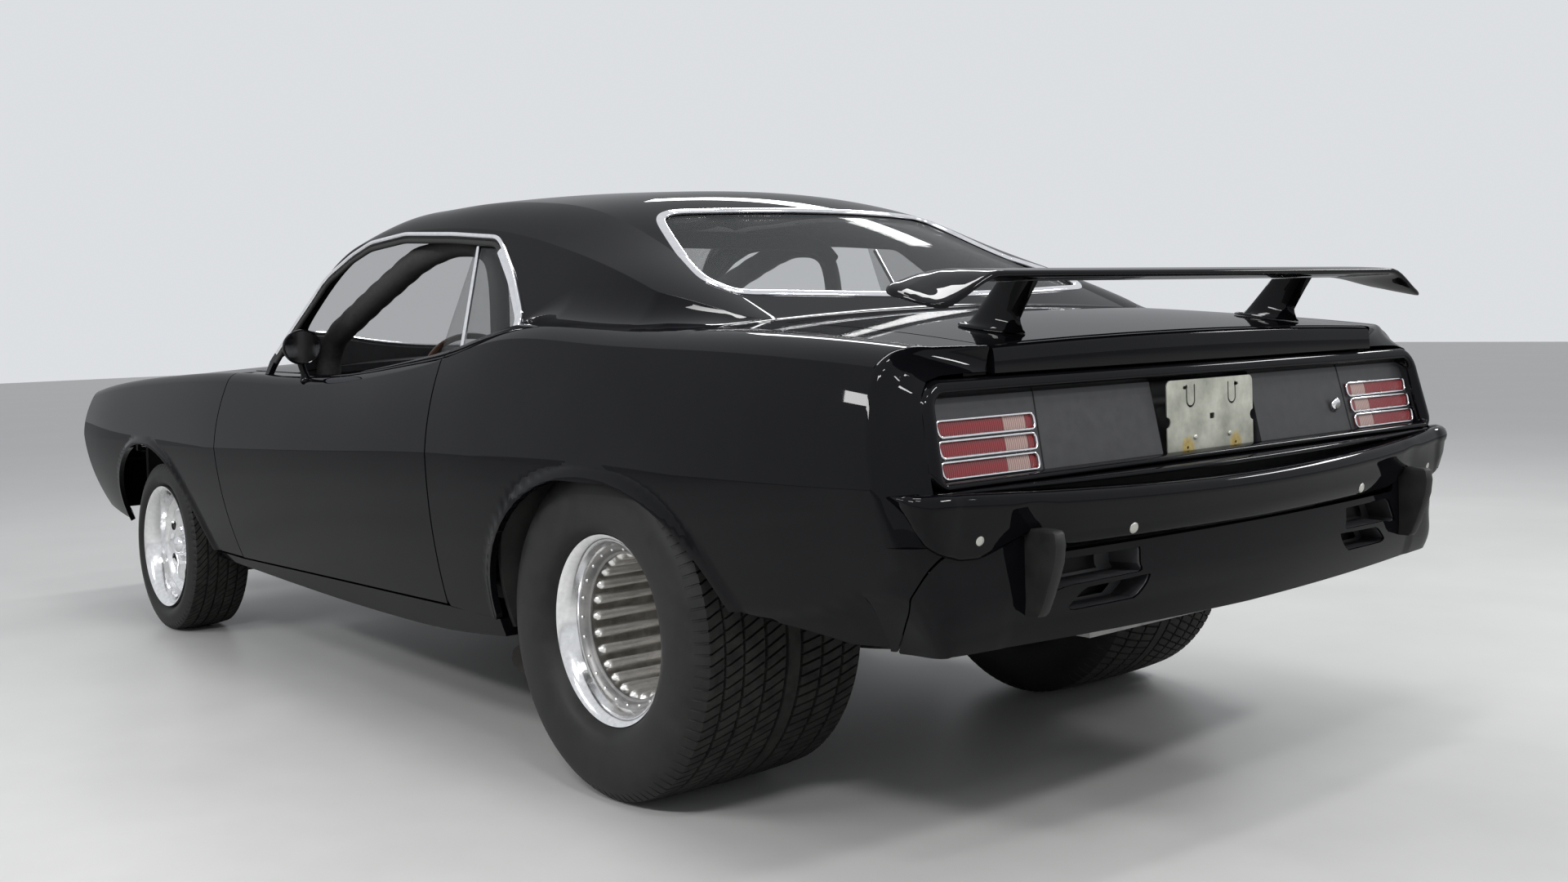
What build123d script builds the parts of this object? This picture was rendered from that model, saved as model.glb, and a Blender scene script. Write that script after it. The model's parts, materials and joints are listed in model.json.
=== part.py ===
# Two-door hardtop muscle car with wide rear tyres, a pedestal wing on its deck and a bare plate bracket.
# Millimetres. +X forward, +Y left, +Z up. Origin on the floor under the middle of the overall box.
from build123d import *
import math
import os

os.makedirs("parts", exist_ok=True)

# Overall places along the car
WHEELBASE = 2743
FRONT_AXLE_X = 1471
REAR_AXLE_X = FRONT_AXLE_X - WHEELBASE
NOSE_X = 2345
NOSE_TOP_X = 2235
NOSE_FOOT_X = 2255
TAIL_TOP_X = -2200
TAIL_FOOT_X = -2252
HOOD_REAR_X = 880
DOOR_FRONT_X = 810
DOOR_REAR_X = -597
LID_FRONT_X = -1640

# Gaps and sheet thicknesses
GAP = 6
SEAT = 0.3
SKIN = 20
ROOF_SKIN = 34
GLASS = 6
GLASS_SET = 5

# Cabin, bay and boot places
DOOR_INNER_Y = 785
JAMB_Y = 776
NOSE_REAR_X = 2195
FIREWALL_X = 850
FIREWALL = 24
SUPPORT_X = 2126
HOOD_REAR_Y = 722
HOOD_FRONT_Y = 690
LID_Y = 652
SILL_Y = 742
FLOOR_TOP = 316
FLOOR = 24
SEAT_Y = 385
DOOR_FOOT_FRONT_Z = 316
DOOR_FOOT_REAR_Z = 348
FENDER_FOOT_Z = 318
CRANK_Z = 470
TUB_Y = 412
TUB_R = 425
TUB = 14
PAN_Z = 560
TUNNEL_Y = 122
TUNNEL_TOP_Z = 435
ROCKER_TOP_Z = 348
NOSE_Y = 760
TAIL_Y = 846

# Wheels and tyres
RIM_R = 207.8
RIM_SEAT_R = 190.5
RIM_LIP = 14
RIM_SHELF = 22
REAR_RIM_OUT_Y = 872
REAR_RIM_IN_Y = 466
FRONT_RIM_OUT_Y = 872
FRONT_RIM_IN_Y = 690
REAR_TYRE_R = 370
REAR_TYRE_OUT_Y = 905
REAR_TYRE_IN_Y = 432
FRONT_TYRE_R = 290
FRONT_TYRE_OUT_Y = 880
FRONT_TYRE_IN_Y = 672

# Axles and springs
AXLE_END_Y = 520
REAR_STUB_Y = 640
STUB_R = 24
SPRING_Y = 350
SPRING_HALF = 30
SPRING_FRONT_X = -930
KICK_X = -900
SNOUT_END_X = -1047
RAIL_TOP_Z = 400
RAIL_IN_Y = 400
RAIL_OUT_Y = 460
APRON_Y = 484
APRON_TOP_Z = 800
ARM_LOW_Z = 196
ARM_HIGH_Z = 404
ENGINE_FOOT_Z = 290
ENGINE_REAR_X = 930
SPRING_REAR_X = -1900
KINGPIN_Y = 700
FRONT_STUB_Y = 800

# Tail
TAIL_TOP_Z = 965
TAIL_LOW_Z = 730
FRAME_TOP_Z = 921
FRAME_LOW_Z = 736
FRAME_HIGH_Y = 800
FRAME_LOW_Y = 822
FRAME_LIP = 22
POCKET_DEPTH = 60
REAR_WALL_X = -2216
RECESS = 26
POCKET_Y = 172
LAMP_TOP_Z = 857
LAMP_LOW_Z = 750
LAMP_IN_Y = 550
LAMP_OUT_Y = 801
LAMP_SLOTS = 3
LAMP_BAR = 8
LAMP_SET = 8
PLATE_X = -2221
PLATE_WIDTH = 276
PLATE_THICK = 2.5
PLATE_HEIGHT = 148
PLATE_LOW_Z = 742
PLATE_TOP_Z = 892
PLATE_HOLES = 177.8
SLOT_LENGTH = 16
SLOT_R = 3.5
BUMPER_Y = 930
BUMPER_END_X = -2264
BUMPER_X = -2371
BUMPER_TOP_Z = 703
BUMPER_LOW_Z = 602
BUMPER_LIFT = 34
BUMPER_TIP = [(500, 590), (650, 600), (790, 616), (860, 636), (905, 672), (928, 716), (940, 760)]
BUMPER_GUARD_X = -2368
GUARD_Y = 655
GUARD_HALF = 26
GUARD_LOW_Z = 500
GUARD_TOP_Z = 656
GUARD_FOOT_X = -2322
VALANCE_LOW_Z = 436
VALANCE_END_Z = 470
VENT_Y = (380, 600)
VENT_Z = (505, 552)

# The rounded lips round the wheel arches, and the quarters' ends
LIP_WIDTH = 26
LIP_PROUD = 9
FIN_POINT = (-2162, 916, 751)
FIN_NORMAL = (0.68, -0.658, -0.326)
FIN_FOOT_Z = 640
FIN_WALL = 30
QUARTER_FOOT = [(-1600, 492), (-1761, 477), (-1956, 451), (-2058, 434), (-2400, 434)]

# Wing
WING_Y = 832
WING_KNEE_Y = 668
WING_DROOP = 55
WING_TIP_SHARE = 0.62
WING_X = -2170
WING_NOSE_X = -2066
WING_CHORD = 190
WING_END = [(-2256, 1106), (-2228, 1118), (-2120, 1116), (-2066, 1100), (-2130, 1094), (-2228, 1095)]
POST_Y = 474
POST_FOOT_X = -2045
POST_FOOT_Z = 1010
POST_HEAD_X = -2118

# Front
GRILLE_X = 2205
GRILLE_Y = 712
GRILLE_LOW_Z = 572
GRILLE_TOP_Z = 782
GRILLE_RIM = 14
GRILLE_BARS = 7
HEADLAMP_Y = 590
HEADLAMP_Z = 677
HEADLAMP_R = 82
LENS_BACK = 150

# Cabin and mirrors
SEAT_WIDTH = 460
SEAT_FOOT_Z = 345
DASH_Y = 759
WHEEL_RIM_R = 188
COLUMN_R = 22
WHEEL_X = 90
WHEEL_Y = 370
WHEEL_Z = 800
MIRROR_Y = 886
MIRROR_Z = 982
MIRROR_R = 58

SHAFT_R = 36
GEARBOX_REAR_X = 420

# Mirror, door and engine bay fittings
MIRROR_FRONT_X = 265
MIRROR_BACK_X = 231
MIRROR_STALK_X = 259
MIRROR_FOOT_R = 21
RADIATOR_WAY = (360, 440, 740)
TANK_Y = 300
TANK_FRONT_X = -1740
TANK_REAR_X = -2130
TANK_LOW_Z = 385
NOSE_BAR_Y = 840
NOSE_BAR_END_X = 2300
NOSE_BAR_X = 2371
NOSE_BAR_Z = (482, 560)

# Outlines seen from the side, as (place along the car, height)
SIDE_WINDOW = [
    (574, 860), (568, 925), (502, 1020), (382, 1178), (262, 1236), (158, 1268), (-47, 1283),
    (-326, 1268), (-570, 1248), (-600, 1230), (-702, 1150), (-800, 1050), (-800, 860),
]
DASH_SIDE = [(655, 740), (655, 868), (470, 892), (372, 872), (360, 800), (420, 715), (520, 690)]
CUSHION_SIDE = [(-260, 345), (250, 345), (262, 450), (-240, 423)]
BACKREST_SIDE = [(-262, 409), (-150, 425), (-290, 890), (-380, 890)]
REAR_CUSHION_SIDE = [(-870, 345), (-560, 345), (-548, 437), (-860, 411)]
REAR_BACKREST_SIDE = [(-872, 600), (-850, 400), (-760, 418), (-905, 950), (-932, 950)]

# Half outlines seen from the end, as (half width, height)
ENGINE_HALF = [(110, ENGINE_FOOT_Z + SEAT), (150, 440), (290, 610), (240, 720), (110, 760)]
ENGINE_LENGTH = 630
REAR_SEAT_Y = 600

# Body sections from the nose to the tail. Columns: place along the car, foot height and half width,
# crease height and half width, shoulder height and half width, middle height,
# shoulder drop width and rise
BODY = [
    (2400, 392, 790, 634, 862, 770, 846, 806, 50, 18),
    (2100, 352, 815, 640, 897, 806, 868, 852, 50, 19),
    (1700, 322, 826, 647, 918, 840, 878, 893, 52, 20),
    (1300, 300, 832, 654, 929, 861, 884, 917, 54, 21),
    (900, 286, 838, 664, 936, 874, 886, 930, 56, 22),
    (500, 274, 842, 679, 938, 872, 884, 925, 58, 22),
    (0, 266, 852, 700, 940, 884, 885, 930, 64, 24),
    (-300, 268, 862, 714, 942, 912, 888, 950, 80, 30),
    (-600, 278, 872, 725, 944, 952, 891, 1000, 100, 37),
    (-850, 300, 880, 728, 946, 996, 894, 1044, 112, 42),
    (-1272, 350, 884, 728, 945, 990, 896, 1056, 118, 42),
    (-1700, 420, 878, 733, 941, 975, 888, 1046, 116, 40),
    (-2100, 446, 850, 738, 925, 950, 868, 1005, 108, 36),
    (-2300, 466, 822, 742, 905, 932, 852, 975, 100, 32),
]
LOWER_BULGE = 16
UPPER_BULGE = 9
SHOULDER_BULGE = 12

# Greenhouse sections. Columns: place along the car, side corner half width and height,
# top edge half width and height, middle height
GREENHOUSE = [
    (870, 905, 650, 600, 872, 930),
    (623, 846, 905, 600, 1040, 1084),
    (376, 727, 1207, 600, 1222, 1238),
    (129, 697, 1288, 600, 1336, 1372),
    (-118, 692, 1299, 600, 1357, 1393),
    (-365, 695, 1291, 600, 1360, 1399),
    (-612, 701, 1267, 592, 1346, 1390),
    (-859, 715, 1222, 570, 1304, 1363),
    (-1106, 733, 1163, 560, 1206, 1276),
    (-1353, 747, 1085, 588, 1112, 1150),
    (-1600, 756, 990, 600, 1010, 1026),
]
PILLAR_FOOT_Z = 540
PILLAR_LEAN = 0.406
CORNER_BULGE = 10


def box(x0, x1, y0, y1, z0, z1):
    """A box between two corners."""
    return Pos((x0 + x1) / 2, (y0 + y1) / 2, (z0 + z1) / 2) * Box(x1 - x0, y1 - y0, z1 - z0)


def side_prism(points, y0, y1):
    """An outline seen from the side, carried across the car."""
    outline = Polyline(*[(x, y0, z) for x, z in points], close=True)
    return extrude(make_face(outline), amount=y1 - y0, dir=(0, 1, 0))


def plan_prism(edges, z0, z1):
    """An outline seen from above, carried upwards."""
    return extrude(make_face(Pos(0, 0, z0) * edges), amount=z1 - z0, dir=(0, 0, 1))


def plan_points(points, z0, z1):
    """A straight-sided outline seen from above."""
    return plan_prism(Polyline(*points, close=True), z0, z1)


def end_prism(half, x0, x1):
    """A symmetric outline seen from the end, from its left half, carried along the car."""
    points = [(x0, y, z) for y, z in half] + [(x0, -y, z) for y, z in reversed(half)]
    return extrude(make_face(Polyline(*points, close=True)), amount=x1 - x0, dir=(1, 0, 0))


def arch_prism(x, z, half_length, half_height, y0, y1):
    """An oval wheel arch carried across the car."""
    oval = Plane((x, y0, z), x_dir=(1, 0, 0), z_dir=(0, 1, 0)) * Ellipse(half_length, half_height)
    return extrude(oval, amount=y1 - y0, dir=(0, 1, 0))


def cylinder_y(x, z, radius, y0, y1):
    """A round bar across the car."""
    return Pos(x, (y0 + y1) / 2, z) * (Rot(90, 0, 0) * Cylinder(radius, y1 - y0))


def bowed(p, q, bulge):
    """The arc from p to q in a cross section, bowed outwards to the right of its direction."""
    dy = q[1] - p[1]
    dz = q[2] - p[2]
    length = math.hypot(dy, dz)
    middle = (p[0], (p[1] + q[1]) / 2 + dz / length * bulge, (p[2] + q[2]) / 2 - dy / length * bulge)
    return ThreePointArc(p, middle, q)


def mirrored(points):
    """The same points on the right side."""
    return [(x, -y, z) for x, y, z in points]


def closed_section(half, bulges, middle_z):
    """A closed symmetric section from the left side's points, foot first."""
    x = half[0][0]
    other = mirrored(half)
    edges = [Line(other[0], half[0])]
    for p, q, bulge in zip(half, half[1:], bulges):
        edges.append(bowed(p, q, bulge) if bulge else Line(p, q))
    edges.append(ThreePointArc(half[-1], (x, 0, middle_z), other[-1]))
    for p, q, bulge in reversed(list(zip(other, other[1:], bulges))):
        edges.append(bowed(q, p, bulge) if bulge else Line(q, p))
    return Wire(edges)


def body_section(row, inset):
    """One section of the lower body, drawn in by a wall thickness."""
    x, foot_z, foot_y, crease_z, crease_y, side_z, side_y, middle_z, drop, rise = row
    half = [
        (x, foot_y - inset, foot_z + inset),
        (x, crease_y - inset, crease_z),
        (x, side_y - inset, side_z - inset / 2),
        (x, side_y - drop - inset, side_z + rise - inset),
    ]
    return closed_section(half, (LOWER_BULGE, UPPER_BULGE, SHOULDER_BULGE), middle_z - inset)


def greenhouse_section(row, inset):
    """One section of the roof and its pillars, drawn in by a wall thickness."""
    x, corner_y, corner_z, top_y, top_z, middle_z = row
    foot_y = corner_y + PILLAR_LEAN * (corner_z - PILLAR_FOOT_Z)
    half = [
        (x, foot_y - inset, PILLAR_FOOT_Z),
        (x, corner_y - inset, corner_z - inset * 0.6),
        (x, top_y - inset / 2, top_z - inset),
    ]
    return closed_section(half, (0, CORNER_BULGE), middle_z - inset)


def body_solid(inset):
    """The lower body's whole outer form."""
    return Solid.make_loft([body_section(row, inset) for row in BODY])


def greenhouse_solid(inset):
    """The roof's whole outer form."""
    return Solid.make_loft([greenhouse_section(row, inset) for row in GREENHOUSE])


def nose_and_tail(inset):
    """The outline from the side and above that ends the body at its nose and tail."""
    side = side_prism([
        (TAIL_TOP_X + inset, 1200), (TAIL_TOP_X + inset, 965), (TAIL_FOOT_X + inset, 730),
        (TAIL_FOOT_X + inset, 200), (NOSE_FOOT_X - inset, 200), (NOSE_FOOT_X - inset, 380),
        (NOSE_X - inset, 640), (NOSE_TOP_X - inset, 822), (NOSE_TOP_X - inset, 1200),
    ], -1000, 1000)
    return side


def save(name, *solids):
    """Writes one node, with every solid that belongs to it."""
    flat = []
    for item in solids:
        flat.extend(item.solids())
    flat = [solid for solid in flat if solid.volume > 1000]
    whole = flat[0] if len(flat) == 1 else Compound(flat)
    whole.label = name
    export_step(whole, f"parts/{name}.step")
    print(name, len(flat), round(sum(s.volume for s in flat) / 1e6, 2))


def mirror_y(item):
    """The same piece on the right side."""
    return mirror(item, about=Plane.XZ)


def arc_strip(y_end, x_end, x_middle, thickness, z0, z1):
    """A bowed strip across the car, seen from above, such as a bumper or valance."""
    sign = 1 if x_middle > 0 else -1
    back_end = x_end - sign * thickness
    back_middle = x_middle - sign * thickness
    front = ThreePointArc((x_end, -y_end), (x_middle, 0), (x_end, y_end))
    rear = ThreePointArc((back_end, y_end), (back_middle, 0), (back_end, -y_end))
    ends = [Line((x_end, y_end), (back_end, y_end)), Line((back_end, -y_end), (x_end, -y_end))]
    return plan_prism(Wire([front, ends[0], rear, ends[1]]), z0, z1)


def both_sides(item):
    """The piece and its mirror image."""
    return [item, mirror_y(item)]


# Master forms
outer = body_solid(0) & nose_and_tail(0)
inner = body_solid(SKIN) & nose_and_tail(SKIN)
inside = body_solid(SKIN + SEAT) & nose_and_tail(SKIN + SEAT)
outside = body_solid(-SEAT) & nose_and_tail(-SEAT)
clear = body_solid(-GAP)
shell = outer - inner
roof_outer = greenhouse_solid(0)
roof_inner = greenhouse_solid(ROOF_SKIN)

# Wheel arches
FRONT_ARCH = (1500, 255, 450, 392)
REAR_ARCH = (-1310, 365, 455, 343)
front_arch = arch_prism(*FRONT_ARCH, -1000, 1000)
rear_arch = arch_prism(*REAR_ARCH, -1000, 1000)
swollen = body_solid(-LIP_PROUD) - inner


def make_lip(arch, low_z):
    """The raised lip along the left side of a wheel arch."""
    x, z, half_length, half_height = arch
    ring = arch_prism(x, z, half_length + LIP_WIDTH, half_height + LIP_WIDTH, 780, 1000)
    return (ring & swollen) - arch_prism(*arch, 700, 1001) - box(x - 600, x + 600, 700, 1001, 0, low_z)


def foot_line(x):
    """Height of the door's lower edge at a place along the car."""
    share = (DOOR_FRONT_X - x) / (DOOR_FRONT_X - DOOR_REAR_X)
    return DOOR_FOOT_FRONT_Z + share * (DOOR_FOOT_REAR_Z - DOOR_FOOT_FRONT_Z)


def make_doors():
    """Both doors, as thick as the real ones, with a rear face that clears the quarter as it swings."""
    front = DOOR_FRONT_X - GAP / 2
    rear = DOOR_REAR_X + GAP / 2
    profile = side_prism([
        (front, foot_line(front)), (front, 1100), (rear, 1100), (rear, foot_line(rear)),
    ], DOOR_INNER_Y, 1000)
    relief = [(rear - 10, 960), (rear - 10, 700), (rear + 18, 700), (rear, 960)]
    jamb_relief = plan_points(relief, 200, 1200)
    return (outer & profile) - jamb_relief


def make_hood_region(gap):
    """The hood's outline from above, drawn in or out by half a gap."""
    front_x = NOSE_TOP_X - 16
    return plan_points([
        (HOOD_REAR_X - gap, -HOOD_REAR_Y - gap), (front_x + gap, -HOOD_FRONT_Y - gap),
        (front_x + gap, HOOD_FRONT_Y + gap), (HOOD_REAR_X - gap, HOOD_REAR_Y + gap),
    ], 700, 1200)


def make_lid_region(gap):
    """The trunk lid's outline from above, drawn in or out by half a gap."""
    return box(-2400, LID_FRONT_X + gap, -LID_Y - gap, LID_Y + gap, FRAME_TOP_Z + GAP / 2 - gap, 1200)


def make_fender():
    """The left front fender."""
    part = shell & box(DOOR_FRONT_X + GAP / 2, 2400, 0, 1000, FENDER_FOOT_Z, 1200)
    part = part - make_hood_region(GAP / 2) - front_arch
    part = part - box(NOSE_REAR_X, 2400, 0, NOSE_Y, 200, 1200)
    part = part - box(DOOR_FRONT_X, 2400, 0, NOSE_Y, 200, 700)
    part = part - box(DOOR_FRONT_X, HOOD_REAR_X - GAP / 2 + SEAT, 0, JAMB_Y + SEAT, 200, 1200)
    return part + make_lip(FRONT_ARCH, FENDER_FOOT_Z)


def tail_opening(gap):
    """The opening between the quarters' rear edges, drawn in by a gap, narrower at its foot."""
    half = [
        (790 - gap, 200), (790 - gap, 430), (TAIL_Y - gap, 620),
        (TAIL_Y - gap, FRAME_TOP_Z + SEAT - gap),
    ]
    return end_prism(half, -2500, TAIL_TOP_X + 40)


def make_quarter():
    """The left quarter panel, from the door to the tail."""
    part = shell & box(-2400, DOOR_REAR_X - GAP / 2, 0, 1000, 200, 1200)
    part = part - make_lid_region(GAP / 2) - rear_arch
    part = part - box(TAIL_TOP_X + 30, DOOR_REAR_X, 0, 790, 200, 700)
    part = part - box(LID_FRONT_X - 50, DOOR_REAR_X, 0, LID_Y + GAP / 2, 200, 1200)
    part = part - box(-1000, DOOR_REAR_X, 0, 1000, 200, ROCKER_TOP_Z - GAP + SEAT)
    part = part + make_lip(REAR_ARCH, ROCKER_TOP_Z - GAP + SEAT)
    foot = side_prism(QUARTER_FOOT + [(-2400, 200), (-1600, 200)], 700, 1001)
    plane = Plane(FIN_POINT, z_dir=FIN_NORMAL)
    zone = box(-2600, -1900, TAIL_Y, 1100, FIN_FOOT_Z, 1200)
    end = (plane * Pos(0, 0, -300) * Box(900, 900, 600)) & zone
    wall = (plane * Pos(0, 0, FIN_WALL / 2) * Box(900, 900, FIN_WALL)) & zone & outer
    return ((part - foot) + wall) - end - tail_opening(0)


def make_nose():
    """The nose panel with its grille opening."""
    part = shell & box(NOSE_REAR_X + SEAT, 2400, -NOSE_Y + SEAT, NOSE_Y - SEAT, 200, 1200)
    part = part - make_hood_region(GAP / 2)
    return part - box(2000, 2400, -700, 700, 585, 770)


def make_rocker():
    """The left rocker with the flange that the closed door rests on."""
    part = outer & side_prism([
        (1075, 200), (1075, FENDER_FOOT_Z - GAP), (DOOR_FRONT_X, foot_line(DOOR_FRONT_X) - GAP),
        (DOOR_REAR_X, foot_line(DOOR_REAR_X) - GAP), (-880, ROCKER_TOP_Z - GAP), (-880, 200),
    ], SILL_Y + SEAT, 1000)
    flange = box(DOOR_REAR_X + 10, 590, 760, DOOR_INNER_Y - SEAT, FLOOR_TOP - FLOOR, ROCKER_TOP_Z + 26)
    tub = cylinder_y(REAR_AXLE_X - 18, REAR_TYRE_R, TUB_R + TUB + SEAT, 0, 1000)
    return (part + flange) - front_arch - rear_arch - tub


door = make_doors()
hood = shell & make_hood_region(-GAP / 2)
lid = shell & make_lid_region(-GAP / 2)
fender = make_fender()
quarter = make_quarter()
nose = make_nose()
rocker = make_rocker()
print("panels done")

save("door_left", door)
save("door_right", mirror_y(door))
save("hood", hood)
save("trunk_lid", lid)
save("fender_left", fender)
save("fender_right", mirror_y(fender))
save("quarter_left", quarter)
save("quarter_right", mirror_y(quarter))
save("nose_panel", nose)
save("rockers", *both_sides(rocker))

def make_roof():
    """The roof with its pillars, sail panels and window frames."""
    front = ThreePointArc((598, -880), (866, 0), (598, 880))
    rest = Polyline((598, 880), (-1530, 880), (-1530, -880), (598, -880))
    part = (roof_outer - roof_inner) & plan_prism(Wire([front] + rest.edges()), 850, 1500)
    part = part - windshield_region(0) - backlight_region(0) - side_window_region()
    door_zone = box(DOOR_REAR_X - GAP, DOOR_FRONT_X + GAP, -1000, 1000, 600, 1200)
    door_zone = door_zone - box(DOOR_REAR_X - 20, DOOR_FRONT_X + 20, -JAMB_Y, JAMB_Y, 500, 1300)
    return part - outside - (clear & door_zone)


def windshield_region(gap):
    """The windshield's outline from above, drawn in by a gap."""
    low = ThreePointArc((562 + gap, -752 + 2 * gap), (826 - gap, 0), (562 + gap, 752 - 2 * gap))
    high = ThreePointArc((215 + gap, 622 - gap), (172 + gap, 0), (215 + gap, -622 + gap))
    left = Line((562 + gap, 752 - 2 * gap), (215 + gap, 622 - gap))
    right = Line((215 + gap, -622 + gap), (562 + gap, -752 + 2 * gap))
    return plan_prism(Wire([low, left, high, right]), 850, 1500)


def backlight_region(gap):
    """The rear window's outline from above, with its rounded lower corners, drawn in by a gap."""
    half = [
        (-930 - gap, 446 - gap), (-958 - gap, 484 - gap),
        (-1325 + gap, 624 - gap), (-1402 + gap, 596 - gap),
    ]
    other = [(x, -y) for x, y in half]
    edges = [
        ThreePointArc(other[0], (-1030 - gap, 0), half[0]),
        Line(half[0], half[1]), Line(half[1], half[2]), Line(half[2], half[3]),
        ThreePointArc(half[3], (-1492 + gap, 0), other[3]),
        Line(other[3], other[2]), Line(other[2], other[1]), Line(other[1], other[0]),
    ]
    return plan_prism(Wire(edges), 850, 1500)


def side_window_region():
    """The pillarless side opening seen from the side, carried across the car."""
    return side_prism(SIDE_WINDOW, -1000, 1000)


def make_quarter_glass():
    """The raised left quarter window."""
    pane = greenhouse_solid(8) - greenhouse_solid(8 + GLASS)
    outline = side_prism([
        (-452, 1247), (-570 + SEAT, 1247 - SEAT), (-600 + SEAT, 1230 - SEAT), (-702 + SEAT, 1150 - SEAT),
        (-800 + SEAT, 1050), (-800 + SEAT, 960), (-572, 960),
    ], 500, 1000)
    return (pane & outline) - outside - box(DOOR_REAR_X - GAP / 2, 0, 0, 1000, 900, 1010)


def make_glass(region):
    """A fixed window let into the roof's opening."""
    pane = greenhouse_solid(GLASS_SET) - greenhouse_solid(GLASS_SET + GLASS)
    return (pane & region) - outside


def make_cowl():
    """The cowl top, its sides and the firewall."""
    top = shell & box(560, HOOD_REAR_X - GAP / 2, -JAMB_Y, JAMB_Y, 800, 1200)
    top = top - box(500, 640, -730, 730, 800, 1200)
    rear_x = FIREWALL_X
    wall = box(rear_x, rear_x + FIREWALL, -JAMB_Y, JAMB_Y, FLOOR_TOP - FLOOR, 905) & inner
    wall = wall - box(rear_x - 10, rear_x + FIREWALL + 10, -TUNNEL_Y, TUNNEL_Y, 200, TUNNEL_TOP_Z)
    sill = box(rear_x - 10, rear_x + FIREWALL + 10, SILL_Y, 1000, 200, FENDER_FOOT_Z - GAP + SEAT)
    wall = wall - sill - mirror_y(sill)
    kick = box(600, rear_x, DASH_Y, JAMB_Y, FLOOR_TOP + SEAT, 880) & inner
    return top + wall + kick + mirror_y(kick)


def make_deck():
    """The fixed panel under the rear window, the parcel shelf and the gutters that the lid rests on."""
    half = LID_Y + GAP / 2 - SEAT
    front = LID_FRONT_X + GAP / 2
    top = shell & box(front, -1380, -half, half, 900, 1200)
    shelf = box(-1400, -935, -1000, 1000, 958, 972) & inside
    riser = box(-1400, -1386, -LID_Y, LID_Y, 965, 1080) & inner
    gutter = box(-2170, -1560, LID_Y - 24, LID_Y + 36, 860, 1100) & inside
    gutter = gutter - box(-2300, -1500, 0, LID_Y + 10, 800, 925)
    tie = box(front, -1560, LID_Y - 24, LID_Y - 4, 940, 1100) & inner
    return top + shelf + riser + gutter + mirror_y(gutter) + tie + mirror_y(tie)


def make_floor():
    """The floor, tunnel, rear kick-up, boot floor and wheel tubs."""
    low = FLOOR_TOP - FLOOR
    shaft_way = box(-1000, FIREWALL_X, -TUNNEL_Y, TUNNEL_Y, 200, TUNNEL_TOP_Z)
    hollow = cylinder_y(REAR_AXLE_X - 18, REAR_TYRE_R, TUB_R, TUB_Y, 1001)
    barrel = cylinder_y(REAR_AXLE_X - 18, REAR_TYRE_R, TUB_R + TUB, TUB_Y - TUB, 1000)
    front = box(KICK_X, FIREWALL_X - SEAT, -SILL_Y, SILL_Y, low, FLOOR_TOP)
    tunnel = box(KICK_X, FIREWALL_X - SEAT, -TUNNEL_Y - 20, TUNNEL_Y + 20, low, TUNNEL_TOP_Z + 20)
    kick = box(KICK_X, KICK_X + FLOOR, -TUB_Y, TUB_Y, low, PAN_Z + FLOOR)
    seat_pan = box(-1660, KICK_X + FLOOR, -TUB_Y, TUB_Y, PAN_Z, PAN_Z + FLOOR)
    drop = box(-1684, -1660, -TUB_Y, TUB_Y, CRANK_Z, PAN_Z + FLOOR)
    boot = box(-2240, -1660, -860, 860, CRANK_Z, CRANK_Z + FLOOR)
    back = box(REAR_WALL_X, REAR_WALL_X + 12, -780, 780, CRANK_Z, FRAME_LOW_Z - 10)
    below = box(-2400, -1000, 0, 1000, -100, CRANK_Z) + box(-1000, 0, 0, 1000, -100, low)
    tub = (barrel - hollow) - below
    rear = (seat_pan + drop + boot + back + tub + mirror_y(tub)) & inside
    cabin = (front + tunnel + kick) - shaft_way
    cabin = cabin - hollow - mirror_y(hollow)
    return cabin + (rear - hollow - mirror_y(hollow))


def make_front_frame():
    """The engine bay's rails, inner aprons with their top rails, and the radiator support."""
    start = FIREWALL_X + FIREWALL + SEAT
    end = SUPPORT_X + 24
    rail = box(start, end, RAIL_IN_Y, RAIL_OUT_Y, 300, RAIL_TOP_Z)
    apron = box(start, end, APRON_Y, APRON_Y + 12, 330, APRON_TOP_Z)
    x = FRONT_AXLE_X
    arm_way = box(x - 75, x + 75, APRON_Y - 4, APRON_Y + 16, ARM_HIGH_Z - 8, ARM_HIGH_Z + 26)
    apron = apron - arm_way
    shelf = box(start, end, APRON_Y, 742, APRON_TOP_Z - 12, APRON_TOP_Z)
    top_rail = box(start, end, 672, 742, APRON_TOP_Z - 12, 1000)
    top_rail = (top_rail - box(0, end - 20, 684, 730, 0, APRON_TOP_Z + 60)) & inside
    foot = box(start, end, RAIL_OUT_Y - 1, APRON_Y + 1, 330, 345)
    horn = box(end - 24, 2400, RAIL_IN_Y, RAIL_OUT_Y, 470, 530) & inside
    side = rail + apron + shelf + top_rail + foot + horn
    support = box(SUPPORT_X, end, -700, 700, 390, APRON_TOP_Z - 1)
    way, way_low_z, way_top_z = RADIATOR_WAY
    support = support - box(2100, 2200, -way, way, way_low_z, way_top_z)
    return side + mirror_y(side) + support


roof = make_roof()
windshield = make_glass(windshield_region(SEAT))
backlight = make_glass(backlight_region(SEAT))
quarter_glass = make_quarter_glass()
print("greenhouse done")
save("roof", roof)
save("windshield", windshield)
save("backlight", backlight)
save("quarter_glass", *both_sides(quarter_glass))
save("cowl_firewall", make_cowl())
save("rear_deck", make_deck())
save("floor", make_floor())
save("front_frame", make_front_frame())


# Running gear, trim and cabin


def turned(profile, x, z):
    """A solid turned about a crosswise line through x and z, from (place across, radius) points."""
    outline = Polyline(*[(0, y, r) for y, r in profile], close=True)
    return Pos(x, 0, z) * revolve(make_face(outline), Axis((0, 0, 0), (0, 1, 0)), 360)


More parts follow.
